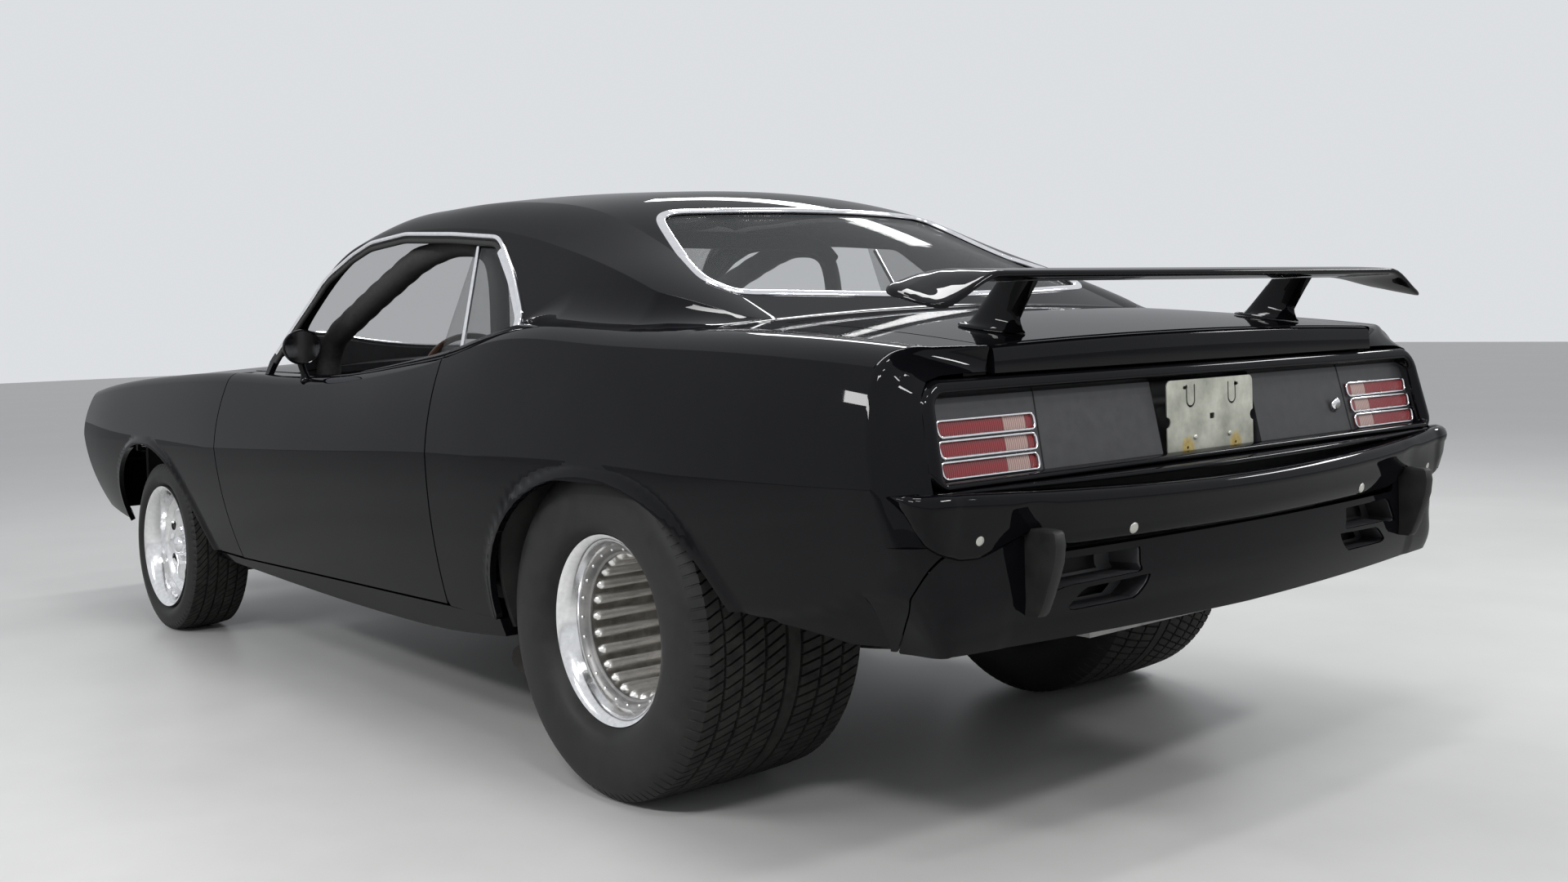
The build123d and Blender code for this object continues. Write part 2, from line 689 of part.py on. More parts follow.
def make_tyre(x, radius, outer_y, inner_y, rim_out_y, rim_in_y, tread_share):
    """A tyre's outer form on its rim seat; its tread pattern is left to the finish."""
    width = outer_y - inner_y
    middle = (outer_y + inner_y) / 2
    half_tread = width * tread_share / 2
    bulge_r = RIM_R + (radius - RIM_R) * 0.45
    shoulder_r = radius - (radius - RIM_R) * 0.16
    lip = RIM_LIP + 2 * SEAT
    shelf = RIM_SHELF + 2 * SEAT
    left = [
        (rim_out_y - shelf, RIM_SEAT_R + SEAT), (rim_out_y - lip, RIM_R + SEAT),
        (outer_y, bulge_r), (outer_y - 4, shoulder_r - 14), (middle + half_tread, radius),
    ]
    right = [
        (middle - half_tread, radius), (inner_y + 4, shoulder_r - 14), (inner_y, bulge_r),
        (rim_in_y + lip, RIM_R + SEAT), (rim_in_y + shelf, RIM_SEAT_R + SEAT),
    ]
    return turned(left + right, x, radius)


def make_wheel(x, z, outer_y, inner_y, disc_y, barrel_r, hub_r, hub_y):
    """A wheel: lips, dropped centre, stepped barrel, disc and hub with its bore."""
    lip = RIM_LIP
    seat = RIM_SHELF
    drop = (outer_y + inner_y) / 2
    well_r = RIM_SEAT_R - 12
    profile = [
        (outer_y, RIM_R - 6), (outer_y - 3, RIM_R), (outer_y - lip, RIM_R), (outer_y - seat, RIM_SEAT_R),
        (drop + 60, RIM_SEAT_R), (drop + 45, well_r), (drop - 45, well_r), (drop - 60, RIM_SEAT_R),
        (inner_y + seat, RIM_SEAT_R), (inner_y + lip, RIM_R), (inner_y + 3, RIM_R), (inner_y, RIM_R - 6),
        (inner_y + 8, RIM_SEAT_R - 10), (disc_y - 40, barrel_r), (disc_y - 12, barrel_r - 4),
        (disc_y - 12, hub_r), (hub_y, hub_r), (hub_y, STUB_R + SEAT), (disc_y + 34, STUB_R + SEAT),
        (disc_y + 34, hub_r - 6), (disc_y + 4, hub_r + 14), (disc_y, barrel_r - 12),
        (disc_y + 30, barrel_r), (outer_y - 70, barrel_r + 6), (outer_y - 52, RIM_SEAT_R - 8),
        (outer_y - 12, RIM_SEAT_R - 2),
    ]
    return turned(profile, x, z)


def make_axle():
    """The rear axle with its differential and the leaf springs that carry it."""
    z = REAR_TYRE_R
    snout_start = REAR_AXLE_X + 75
    snout_length = SNOUT_END_X - snout_start
    whole = cylinder_y(REAR_AXLE_X, z, 42, -AXLE_END_Y, AXLE_END_Y)
    whole = whole + cylinder_y(REAR_AXLE_X, z, STUB_R, -REAR_STUB_Y, REAR_STUB_Y)
    whole = whole + turned([(-95, 40), (-60, 128), (60, 128), (95, 40)], REAR_AXLE_X, z)
    snout = Pos(snout_start + snout_length / 2, 0, z) * (Rot(0, 90, 0) * Cylinder(46, snout_length))
    whole = whole + snout
    for y in (-SPRING_Y, SPRING_Y):
        low_y = y - SPRING_HALF
        whole = whole + box(REAR_AXLE_X - 70, REAR_AXLE_X + 70, y - 32, y + 32, z - 70, z - 30)
        front_x, rear_x = SPRING_FRONT_X, SPRING_REAR_X
        upper = ThreePointArc((front_x, low_y, 342), (REAR_AXLE_X, low_y, 306), (rear_x, low_y, 372))
        lower = ThreePointArc((rear_x, low_y, 358), (REAR_AXLE_X, low_y, 286), (front_x, low_y, 328))
        ends = [Line(upper @ 1, lower @ 0), Line(lower @ 1, upper @ 0)]
        leaf = make_face(Wire([upper, ends[0], lower, ends[1]]))
        whole = whole + extrude(leaf, amount=2 * SPRING_HALF, dir=(0, 1, 0))
        whole = whole + box(SPRING_FRONT_X - 20, KICK_X - SEAT, y - 32, y + 32, 316, 368)
        whole = whole + box(SPRING_REAR_X - 16, SPRING_REAR_X + 16, y - 32, y + 32, 350, CRANK_Z - SEAT)
    return whole


def make_arm(wide, inner_y, z0, z1):
    """A left suspension arm, seen from above: wide at its pivots and narrow at the kingpin."""
    return plan_points([
        (FRONT_AXLE_X - wide, inner_y), (FRONT_AXLE_X + wide, inner_y),
        (FRONT_AXLE_X + 20, KINGPIN_Y + 14), (FRONT_AXLE_X - 20, KINGPIN_Y + 14),
    ], z0, z1)


def make_suspension():
    """The front crossmember with its lower arms, and the upper arms on the rails."""
    beam = box(FRONT_AXLE_X - 60, FRONT_AXLE_X + 60, -398, 398, 215, ENGINE_FOOT_Z)
    rail_pad = box(FRONT_AXLE_X - 60, FRONT_AXLE_X + 60, 380, 470, 255, 300 - SEAT)
    low = make_arm(50, 380, ARM_LOW_Z - 20, ARM_LOW_Z)
    low_post = box(FRONT_AXLE_X - 50, FRONT_AXLE_X + 50, 380, 398, ARM_LOW_Z - 20, 240)
    high = make_arm(60, 420, ARM_HIGH_Z, ARM_HIGH_Z + 16)
    x = FRONT_AXLE_X
    high = high + box(x - 60, x + 60, 420, RAIL_OUT_Y, RAIL_TOP_Z + SEAT, ARM_HIGH_Z + 1)
    side = rail_pad + low + low_post
    return [beam + side + mirror_y(side), high, mirror_y(high)]


def make_knuckle():
    """The left front knuckle with its kingpin and stub axle."""
    x = FRONT_AXLE_X
    z = FRONT_TYRE_R
    upright = box(x - 26, x + 26, KINGPIN_Y - 18, KINGPIN_Y + 18, ARM_LOW_Z + 5, ARM_HIGH_Z - 5)
    pin_height = ARM_HIGH_Z - ARM_LOW_Z - 2 * SEAT
    pin = Pos(x, KINGPIN_Y, (ARM_HIGH_Z + ARM_LOW_Z) / 2) * Cylinder(11, pin_height)
    plate = cylinder_y(x, z, 60, KINGPIN_Y + 10, KINGPIN_Y + 30)
    stub = cylinder_y(x, z, STUB_R, KINGPIN_Y, FRONT_STUB_Y)
    arm = box(x - 130, x, KINGPIN_Y - 18, KINGPIN_Y - 2, 240, 262)
    return upright + pin + plate + stub + arm


def tail_x(z):
    """Place along the car of the leaning tail face at a height."""
    share = (TAIL_TOP_Z - z) / (TAIL_TOP_Z - TAIL_LOW_Z)
    return TAIL_TOP_X + share * (TAIL_FOOT_X - TAIL_TOP_X)


def tail_slab(front, back, z0, z1, low_y, high_y):
    """A slab that follows the tail's lean, wider at its foot, between two depths into the car."""
    outline = side_prism([
        (tail_x(z1) + front, z1), (tail_x(z1) + back, z1),
        (tail_x(z0) + back, z0), (tail_x(z0) + front, z0),
    ], -1000, 1000)
    return outline & end_prism([(low_y, z0), (high_y, z1)], -2400, -1800)


def make_tail_panel():
    """The tail's frame, its recessed panel with the plate pocket, and the ledge over the bumper."""
    half = TAIL_Y - SEAT
    low = FRAME_LOW_Z + 10
    top = FRAME_TOP_Z - FRAME_LIP
    frame = tail_slab(1, RECESS + 4, FRAME_LOW_Z, FRAME_TOP_Z, half, half)
    frame = frame - tail_slab(-5, RECESS + 24, low, top, FRAME_LOW_Y, FRAME_HIGH_Y)
    back = tail_slab(RECESS, RECESS + 8, FRAME_LOW_Z, FRAME_TOP_Z, half, half)
    mouth = tail_slab(RECESS - 5, POCKET_DEPTH, FRAME_LOW_Z + 4, PLATE_TOP_Z, POCKET_Y, POCKET_Y)
    cup_y = POCKET_Y + 8
    cup = tail_slab(RECESS + 2, POCKET_DEPTH + 6, FRAME_LOW_Z, PLATE_TOP_Z + 8, cup_y, cup_y)
    ledge = arc_strip(TAIL_Y - 3, -2246, -2303, 70, FRAME_LOW_Z - 9, FRAME_LOW_Z)
    return ((frame + back + cup) - mouth) + ledge


def lamp_slots():
    """Lower and upper height of each of a tail lamp's crosswise slots."""
    pitch = (LAMP_TOP_Z - LAMP_LOW_Z) / LAMP_SLOTS
    return [
        (LAMP_LOW_Z + i * pitch + LAMP_BAR / 2, LAMP_LOW_Z + (i + 1) * pitch - LAMP_BAR / 2)
        for i in range(LAMP_SLOTS)
    ]


def make_lamp():
    """The left tail lamp's bright bezel, open at its three crosswise slots."""
    bezel = tail_slab(LAMP_SET, RECESS - SEAT, LAMP_LOW_Z, LAMP_TOP_Z, LAMP_OUT_Y + 8, LAMP_OUT_Y)
    bezel = bezel & box(-2400, -2000, LAMP_IN_Y, 1000, 600, 1000)
    for z0, z1 in lamp_slots():
        slot = tail_slab(-40, 60, z0, z1, LAMP_OUT_Y - LAMP_BAR, LAMP_OUT_Y - LAMP_BAR)
        bezel = bezel - (slot & box(-2400, -2000, LAMP_IN_Y + LAMP_BAR, 1000, 600, 1000))
    return bezel


def make_lens():
    """The left tail lamp's lens, one bar in each slot."""
    inset = LAMP_BAR + SEAT
    bars = []
    for z0, z1 in lamp_slots():
        reach = LAMP_OUT_Y - inset
        bar = tail_slab(LAMP_SET + 6, RECESS - SEAT, z0 + SEAT, z1 - SEAT, reach, reach)
        bars.append(bar & box(-2400, -2000, LAMP_IN_Y + inset, 1000, 600, 1000))
    return bars


def x_cylinder(x0, x1, y, z, radius):
    """A round bar along the car."""
    return Pos((x0 + x1) / 2, y, z) * (Rot(0, 90, 0) * Cylinder(radius, x1 - x0))


def make_plate_bracket():
    """The bare galvanised plate bracket: two slots along its top and a notch in its middle."""
    x = PLATE_X
    half = PLATE_WIDTH / 2
    plate = box(x, x + PLATE_THICK, -half, half, PLATE_LOW_Z, PLATE_LOW_Z + PLATE_HEIGHT)
    slot_z = PLATE_LOW_Z + PLATE_HEIGHT - 16
    reach = SLOT_LENGTH / 2 - SLOT_R
    for y in (-PLATE_HOLES / 2, PLATE_HOLES / 2):
        plate = plate - box(x - 5, x + 5, y - reach, y + reach, slot_z - SLOT_R, slot_z + SLOT_R)
        for end in (-reach, reach):
            plate = plate - x_cylinder(x - 5, x + 5, y + end, slot_z, SLOT_R)
    plate = plate - box(x - 5, x + 5, -9, 9, PLATE_LOW_Z + 70, PLATE_LOW_Z + 84)
    for y in (-half, half):
        plate = plate - x_cylinder(x - 5, x + 5, y, PLATE_LOW_Z + 62, 12)
    back = tail_slab(POCKET_DEPTH - SEAT, 200, FRAME_LOW_Z, FRAME_TOP_Z, TAIL_Y, TAIL_Y)
    for y in (-60, 60):
        foot = box(x + PLATE_THICK, x + 80, y - 8, y + 8, PLATE_LOW_Z + 22, PLATE_LOW_Z + 38) - back
        plate = plate + foot
    return plate


def make_guard(y):
    """A rear bumper guard: a pad against the bar, leaning in towards its foot."""
    pad = side_prism([
        (BUMPER_GUARD_X, GUARD_TOP_Z), (BUMPER_GUARD_X, GUARD_TOP_Z - 60), (GUARD_FOOT_X - 18, GUARD_LOW_Z),
        (GUARD_FOOT_X + 40, GUARD_LOW_Z), (-2250, GUARD_TOP_Z - 50), (-2250, GUARD_TOP_Z),
    ], y - GUARD_HALF, y + GUARD_HALF)
    bar = arc_strip(BUMPER_Y, BUMPER_END_X - SEAT, BUMPER_X - SEAT, 400, 0, 1000)
    return pad - bar


def make_grille():
    """The grille: a frame with crosswise bars, open round the lamps."""
    x = GRILLE_X
    half = GRILLE_Y - GRILLE_RIM
    low = GRILLE_LOW_Z + GRILLE_RIM
    top = GRILLE_TOP_Z - GRILLE_RIM
    whole = box(x, x + 20, -GRILLE_Y, GRILLE_Y, GRILLE_LOW_Z, GRILLE_TOP_Z)
    whole = whole - box(0, 3000, -half, half, low, top)
    for y in (-450, 0, 450):
        whole = whole + box(x + 4, x + 16, y - 5, y + 5, low - 4, top + 4)
    for i in range(GRILLE_BARS):
        z = low + (i + 1) * (top - low) / (GRILLE_BARS + 1)
        whole = whole + box(x + 3, x + 15, -half - 4, half + 4, z - 4, z + 4)
    for y in (-HEADLAMP_Y, HEADLAMP_Y):
        whole = whole + x_cylinder(x, x + 20, y, HEADLAMP_Z, HEADLAMP_R + 8)
        whole = whole - x_cylinder(x - 50, x + 50, y, HEADLAMP_Z, HEADLAMP_R + SEAT)
    for y in (-half, half):
        whole = whole + box(SUPPORT_X + 24 + SEAT, x + 1, y - 8, y + 8, 600, 760)
    return whole


def make_headlamp(y):
    """A headlamp: its can behind and a domed lens in its ring."""
    face_x = GRILLE_X + 16
    can = x_cylinder(SUPPORT_X + 24 + SEAT, face_x, y, HEADLAMP_Z, HEADLAMP_R)
    radius = math.hypot(LENS_BACK, HEADLAMP_R)
    middle = (face_x + radius - LENS_BACK, 0)
    halfway = (face_x + (radius - LENS_BACK) * 0.75, HEADLAMP_R / 2)
    profile = make_face(Wire([
        ThreePointArc((face_x, HEADLAMP_R), halfway, middle),
        Line(middle, (face_x - 5, 0)), Line((face_x - 5, 0), (face_x - 5, HEADLAMP_R)),
        Line((face_x - 5, HEADLAMP_R), (face_x, HEADLAMP_R)),
    ]))
    return can + Pos(0, y, HEADLAMP_Z) * revolve(profile, Axis.X, 360)


def make_mirror():
    """The left door mirror: a round head on a stalk with a small foot."""
    head = x_cylinder(MIRROR_BACK_X, MIRROR_FRONT_X, MIRROR_Y, MIRROR_Z, MIRROR_R)
    stalk_y = MIRROR_Y - 8
    stalk = Pos(MIRROR_STALK_X, stalk_y, MIRROR_Z - 50) * Cylinder(5, 64)
    foot = Pos(MIRROR_STALK_X, stalk_y, 906) * Cylinder(MIRROR_FOOT_R, 30)
    return head + stalk + (foot - outside)


def make_bumper():
    """The rear bumper bar, bowed in plan and lifted a little at its ends, with its two brackets."""
    bar = arc_strip(BUMPER_Y, BUMPER_END_X, BUMPER_X, 64, 500, 800)
    x = -2500
    top_z = BUMPER_TOP_Z + BUMPER_LIFT
    low_z = BUMPER_LOW_Z + BUMPER_LIFT
    top = ThreePointArc((x, -1000, top_z), (x, 0, BUMPER_TOP_Z), (x, 1000, top_z))
    low = ThreePointArc((x, 1000, low_z), (x, 0, BUMPER_LOW_Z), (x, -1000, low_z))
    ends = [Line(top @ 1, low @ 0), Line(low @ 1, top @ 0)]
    band = extrude(make_face(Wire([top, ends[0], low, ends[1]])), amount=600, dir=(1, 0, 0))
    corner = [(x, y, z) for y, z in BUMPER_TIP] + [(x, 1000, 760), (x, 1000, 400), (x, 500, 400)]
    corner = extrude(make_face(Polyline(*corner, close=True)), amount=600, dir=(1, 0, 0))
    band = band - corner - mirror_y(corner)
    whole = (bar & band) - outside
    for y in (-500, 500):
        whole = whole + box(-2300, REAR_WALL_X - SEAT, y - 20, y + 20, 635, 685)
    return whole


def make_valance():
    """The panel under the rear bumper with its two recesses."""
    part = arc_strip(BUMPER_Y, -2240, -2318, 16, VALANCE_LOW_Z, BUMPER_LOW_Z - SEAT) & tail_opening(SEAT)
    x = -2500
    low = ThreePointArc((x, -TAIL_Y, VALANCE_END_Z), (x, 0, VALANCE_LOW_Z), (x, TAIL_Y, VALANCE_END_Z))
    foot = [(x, TAIL_Y, 300), (x, -TAIL_Y, 300)]
    below = [Line(low @ 1, foot[0]), Line(foot[0], foot[1]), Line(foot[1], low @ 0)]
    part = part - extrude(make_face(Wire([low] + below)), amount=600, dir=(1, 0, 0))
    for side in (-1, 1):
        y0, y1 = sorted((side * VENT_Y[0], side * VENT_Y[1]))
        part = part - box(-2400, -2200, y0, y1, *VENT_Z)
    return part


def make_wing():
    """The deck wing: a plank with drooped ends on two swept posts with pads."""
    wires = []
    tip = WING_TIP_SHARE
    for y, share, droop in ((-WING_Y, tip, 1), (-WING_KNEE_Y, 1, 0), (WING_KNEE_Y, 1, 0), (WING_Y, tip, 1)):
        points = []
        for x, z in WING_END:
            fall = droop * WING_DROOP * (WING_NOSE_X - x) / WING_CHORD
            points.append((WING_X + (x - WING_X) * share, y, z - fall))
        wires.append(Wire(Polyline(*points, close=True).edges()))
    whole = Solid.make_loft(wires, True)
    for side in (-1, 1):
        foot = Plane((POST_FOOT_X, side * POST_Y, POST_FOOT_Z - 25)) * Ellipse(62, 15)
        head = Plane((POST_HEAD_X, side * POST_Y, 1100)) * Ellipse(52, 13)
        pad = Plane((POST_FOOT_X, side * POST_Y, POST_FOOT_Z - 10)) * Ellipse(84, 30)
        whole = whole + loft([foot, head]) + extrude(pad, amount=14)
    return whole - outside


def make_seat(y):
    """A front bucket seat: cushion, leaning back and the two runners it stands on."""
    half = SEAT_WIDTH / 2
    z = SEAT_FOOT_Z
    whole = side_prism(CUSHION_SIDE, y - half, y + half) + side_prism(BACKREST_SIDE, y - half, y + half)
    for offset in (-150, 150):
        whole = whole + box(-230, 230, y + offset - 15, y + offset + 15, FLOOR_TOP + SEAT, z + 1)
    return whole


def make_rear_seat():
    """The rear bench's cushion and back."""
    half = REAR_SEAT_Y
    cushion = side_prism(REAR_CUSHION_SIDE, -half, half)
    back = side_prism(REAR_BACKREST_SIDE, -half, half)
    plinth = box(-860, -580, -half, half, FLOOR_TOP + SEAT, SEAT_FOOT_Z + 1)
    tunnel = box(-1000, -500, -TUNNEL_Y - 26, TUNNEL_Y + 26, 300, TUNNEL_TOP_Z + 26)
    whole = (cushion + back + plinth) - tunnel
    tub = cylinder_y(REAR_AXLE_X - 18, REAR_TYRE_R, TUB_R + TUB + 1, TUB_Y - TUB - 1, 1000)
    return whole - tub - mirror_y(tub)


def make_dash():
    """The dashboard with its hood over the dials."""
    return side_prism(DASH_SIDE, -DASH_Y + SEAT, DASH_Y - SEAT) & inside


def make_steering_wheel():
    """The steering wheel with its hub and spokes, and the column that runs to the firewall."""
    tilt = Plane((WHEEL_X, WHEEL_Y, WHEEL_Z), x_dir=(0, 1, 0), z_dir=(-0.92, 0, 0.39))
    whole = tilt * Torus(WHEEL_RIM_R, 10)
    whole = whole + tilt * Pos(0, 0, -18) * Cylinder(34, 34)
    for angle in (0, 180, 270):
        spoke = Pos(WHEEL_RIM_R / 2, 0, -8) * Box(WHEEL_RIM_R - 12, 24, 5)
        whole = whole + tilt * Rot(0, 0, angle) * spoke
    column = tilt * Pos(0, 0, -450) * Cylinder(COLUMN_R, 850)
    return whole + (column & box(0, FIREWALL_X - SEAT, 0, 1000, 0, 1000))


def make_engine():
    """The engine as one plain block with a vee engine's outline, standing on the crossmember."""
    return end_prism(ENGINE_HALF, ENGINE_REAR_X, ENGINE_REAR_X + ENGINE_LENGTH)


def make_gearbox():
    """The gearbox behind the engine and the driveshaft to the axle's snout."""
    box_top = TUNNEL_TOP_Z - 12
    half = TUNNEL_Y - 12
    case = box(GEARBOX_REAR_X, ENGINE_REAR_X - SEAT, -half, half, 250, box_top)
    start_z = (250 + box_top) / 2
    run = GEARBOX_REAR_X - SNOUT_END_X
    rise = REAR_TYRE_R - start_z
    slope = Plane((GEARBOX_REAR_X, 0, start_z), z_dir=(-run, 0, rise))
    length = math.hypot(run, rise)
    shaft = slope * Pos(0, 0, length / 2 - 10) * Cylinder(SHAFT_R, length + 18)
    return case + shaft


def make_exhaust(side):
    """A tailpipe that runs back under the floor and turns out ahead of the rear tyre."""
    y0 = side * 300
    path = FilletPolyline((900, y0, 214), (-330, y0, 214), (-690, side * 730, 200), radius=160)
    pipe = sweep(Plane(path @ 0, z_dir=path % 0) * Circle(37), path)
    hanger = box(-200, -180, y0 - 20, y0 + 20, 230, FLOOR_TOP - FLOOR - SEAT)
    return pipe + hanger


rear_tyre = make_tyre(
    REAR_AXLE_X, REAR_TYRE_R, REAR_TYRE_OUT_Y, REAR_TYRE_IN_Y, REAR_RIM_OUT_Y, REAR_RIM_IN_Y, 0.86)
front_tyre = make_tyre(
    FRONT_AXLE_X, FRONT_TYRE_R, FRONT_TYRE_OUT_Y, FRONT_TYRE_IN_Y, FRONT_RIM_OUT_Y, FRONT_RIM_IN_Y, 0.8)
rear_wheel = make_wheel(REAR_AXLE_X, REAR_TYRE_R, REAR_RIM_OUT_Y, REAR_RIM_IN_Y, 600, 168, 60, 560)
front_wheel = make_wheel(FRONT_AXLE_X, FRONT_TYRE_R, FRONT_RIM_OUT_Y, FRONT_RIM_IN_Y, 790, 172, 52, 765)
print("wheels done")
for side, place in ((0, "left"), (1, "right")):
    flip = mirror_y if side else (lambda item: item)
    save(f"tyre_rear_{place}", flip(rear_tyre))
    save(f"tyre_front_{place}", flip(front_tyre))
    save(f"wheel_rear_{place}", flip(rear_wheel))
    save(f"wheel_front_{place}", flip(front_wheel))
    save(f"knuckle_{place}", flip(make_knuckle()))
save("rear_axle", make_axle())
save("front_suspension", *make_suspension())
save("tail_panel", make_tail_panel())
lamp = make_lamp()
save("tail_lamps", *both_sides(lamp))
lens = make_lens()
save("lamp_lenses", *lens, *[mirror_y(bar) for bar in lens])
save("plate_bracket", make_plate_bracket())
save("bumper_guards", *both_sides(make_guard(GUARD_Y)))
save("grille", make_grille())
save("headlamps", make_headlamp(HEADLAMP_Y), make_headlamp(-HEADLAMP_Y))
mirror_part = make_mirror()
save("mirror_left", mirror_part)
save("mirror_right", mirror_y(mirror_part))
save("rear_bumper", make_bumper())
save("rear_valance", make_valance())
save("wing", make_wing())
for y, place in ((SEAT_Y, "left"), (-SEAT_Y, "right")):
    save(f"seat_front_{place}", make_seat(y))
save("seat_rear", make_rear_seat())
save("dashboard", make_dash())
save("steering_wheel", make_steering_wheel())
save("exhausts", make_exhaust(1), make_exhaust(-1))
save("engine", make_engine())
save("gearbox_driveshaft", make_gearbox())
save("fuel_tank", box(TANK_REAR_X, TANK_FRONT_X, -TANK_Y, TANK_Y, TANK_LOW_Z, CRANK_Z - SEAT))
save("front_bumper", arc_strip(NOSE_BAR_Y, NOSE_BAR_END_X, NOSE_BAR_X, 40, *NOSE_BAR_Z) - outside)
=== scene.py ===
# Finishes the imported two-door hardtop: smooth painted panels, tyres with tread, wheels, trim and cabin.
import json
import math
import bpy
import numpy as np
from mathutils import Matrix, Vector

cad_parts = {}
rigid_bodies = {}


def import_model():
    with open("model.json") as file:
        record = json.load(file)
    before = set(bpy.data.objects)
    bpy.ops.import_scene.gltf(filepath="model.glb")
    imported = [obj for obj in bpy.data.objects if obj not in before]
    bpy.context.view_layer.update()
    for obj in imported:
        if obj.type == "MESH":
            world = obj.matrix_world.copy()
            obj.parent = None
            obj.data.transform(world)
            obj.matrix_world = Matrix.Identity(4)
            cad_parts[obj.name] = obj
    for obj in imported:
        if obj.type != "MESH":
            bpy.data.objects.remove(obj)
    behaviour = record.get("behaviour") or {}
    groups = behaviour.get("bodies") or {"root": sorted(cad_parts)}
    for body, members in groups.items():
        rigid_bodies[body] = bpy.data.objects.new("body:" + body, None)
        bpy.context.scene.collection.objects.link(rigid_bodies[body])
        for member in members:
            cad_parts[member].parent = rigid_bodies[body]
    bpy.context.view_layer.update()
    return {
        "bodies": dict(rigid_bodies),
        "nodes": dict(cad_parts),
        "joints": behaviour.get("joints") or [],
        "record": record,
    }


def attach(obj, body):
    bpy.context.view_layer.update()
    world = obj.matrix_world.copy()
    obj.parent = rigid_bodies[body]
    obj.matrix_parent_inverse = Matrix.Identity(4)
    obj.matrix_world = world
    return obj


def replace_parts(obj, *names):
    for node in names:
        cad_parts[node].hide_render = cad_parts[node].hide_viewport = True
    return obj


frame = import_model()
nodes = frame["nodes"]

# Places in millimetres, the same as the source's
MM = 0.001
LAMP_LEVEL = 0.42
FRONT_AXLE_X = 1471
REAR_AXLE_X = -1272
DOOR_FRONT_X = 810
DOOR_REAR_X = -597
DOOR_INNER_Y = 785
DOOR_FOOT = (316, 348)
HOOD_REAR_X = 880
HOOD_FRONT_X = 2219
HOOD_REAR_Y = 722
HOOD_FRONT_Y = 690
LID_FRONT_X = -1640
LID_Y = 652
GAP = 6
FENDER_FOOT_Z = 318
FRONT_ARCH = (1500, 255, 450, 392)
REAR_ARCH = (-1310, 365, 455, 343)
REAR_TYRE_R = 370
FRONT_TYRE_R = 290
RIM_R = 207.8
WING_NOSE = (-2068, 1104)
WING_THICK = 16
DRUM_BARS = 26
TAIL_LINE = [(965, -2200), (730, -2252)]
NOSE_LINE = [(380, 2255), (640, 2345), (822, 2235)]
FIN_FOOT_Z = 640
FIN_SIDE = [(600, -2186), (751, -2162), (822, -2142), (905, -2126), (972, -2124)]
FIN_DECK = [(655, -2196), (825, -2124)]
CORNER_X = -2105
QUARTER_FOOT = [(-2400, 434), (-2058, 434), (-1956, 451), (-1761, 477), (-1600, 492), (-1500, 492)]
ARCH_LIP = (26, 9)
TUCK = 26
TUCK_LINE = [
    (-2238, 621), (-2149, 574), (-2046, 518), (-1976, 498), (-1861, 477), (-1805, 474), (-1723, 476),
    (-1600, 480),
]
SKIN = 16
BODY = np.array([
    (2400, 392, 790, 634, 862, 770, 846, 806, 50, 18),
    (2100, 352, 815, 640, 897, 806, 868, 852, 50, 19),
    (1700, 322, 826, 647, 918, 840, 878, 893, 52, 20),
    (1300, 300, 832, 654, 929, 861, 884, 917, 54, 21),
    (900, 286, 838, 664, 936, 874, 886, 930, 56, 22),
    (500, 274, 842, 679, 938, 872, 884, 925, 58, 22),
    (0, 266, 852, 700, 940, 884, 885, 930, 64, 24),
    (-300, 268, 862, 714, 942, 912, 888, 950, 80, 30),
    (-600, 278, 872, 725, 944, 952, 891, 1000, 100, 37),
    (-850, 300, 880, 728, 946, 996, 894, 1044, 112, 42),
    (-1272, 350, 884, 728, 945, 990, 896, 1056, 118, 42),
    (-1700, 420, 878, 733, 941, 975, 888, 1046, 116, 40),
    (-2100, 446, 850, 738, 925, 950, 868, 1005, 108, 36),
    (-2300, 466, 822, 742, 905, 932, 852, 975, 100, 32),
], float)
ROOF = np.array([
    (870, 905, 650, 600, 872, 930),
    (623, 846, 905, 600, 1040, 1084),
    (376, 727, 1207, 600, 1222, 1238),
    (129, 697, 1288, 600, 1336, 1372),
    (-118, 692, 1299, 600, 1357, 1393),
    (-365, 695, 1291, 600, 1360, 1399),
    (-612, 701, 1267, 592, 1346, 1390),
    (-859, 715, 1222, 570, 1304, 1363),
    (-1106, 733, 1163, 560, 1206, 1276),
    (-1353, 747, 1085, 588, 1112, 1150),
    (-1600, 756, 990, 600, 1010, 1026),
], float)
BLEND_R = 75
SHELL_LOW = (26, 18, 26)
SHELL_BLEND = 12
SHELL_HIGH = (22, 16, 40)
ROOF_COUNTS = (60, 24, 40)
PILLAR_FOOT_Z = 540
PILLAR_LEAN = 0.406
SIDE_WINDOW = [
    (574, 820), (568, 925), (502, 1020), (382, 1178), (262, 1236), (158, 1268), (-47, 1283),
    (-326, 1268), (-570, 1248), (-600, 1230), (-702, 1150), (-800, 1050), (-800, 820),
]
SIDES = (("left", 1), ("right", -1))
REARWARD = (-1, 0, 0)
# Above this height a point of the lower body belongs to its top
TOP_Z = 700
FAR_INSIDE = 20.0
COWL_Y = 776.3
NOSE_REAR_X = 2195
NOSE_Y = 760
ROCKER_REAR_X = -880
ROCKER_FOOT_Z = 342.3
TAIL_BEND_X = -1650
QUARTER_FOOT_X = -1500
SIDE_OPENING_Y = 450
ROOF_Z = 900
CLIP = 12
# The wing posts' rise, half length and half width
POST_LEVELS = [
    (-10, 84, 30), (-3, 83, 29), (2, 78, 25), (6, 70, 20), (14, 63, 16), (30, 60, 14), (60, 55, 13),
    (86, 52, 13),
]
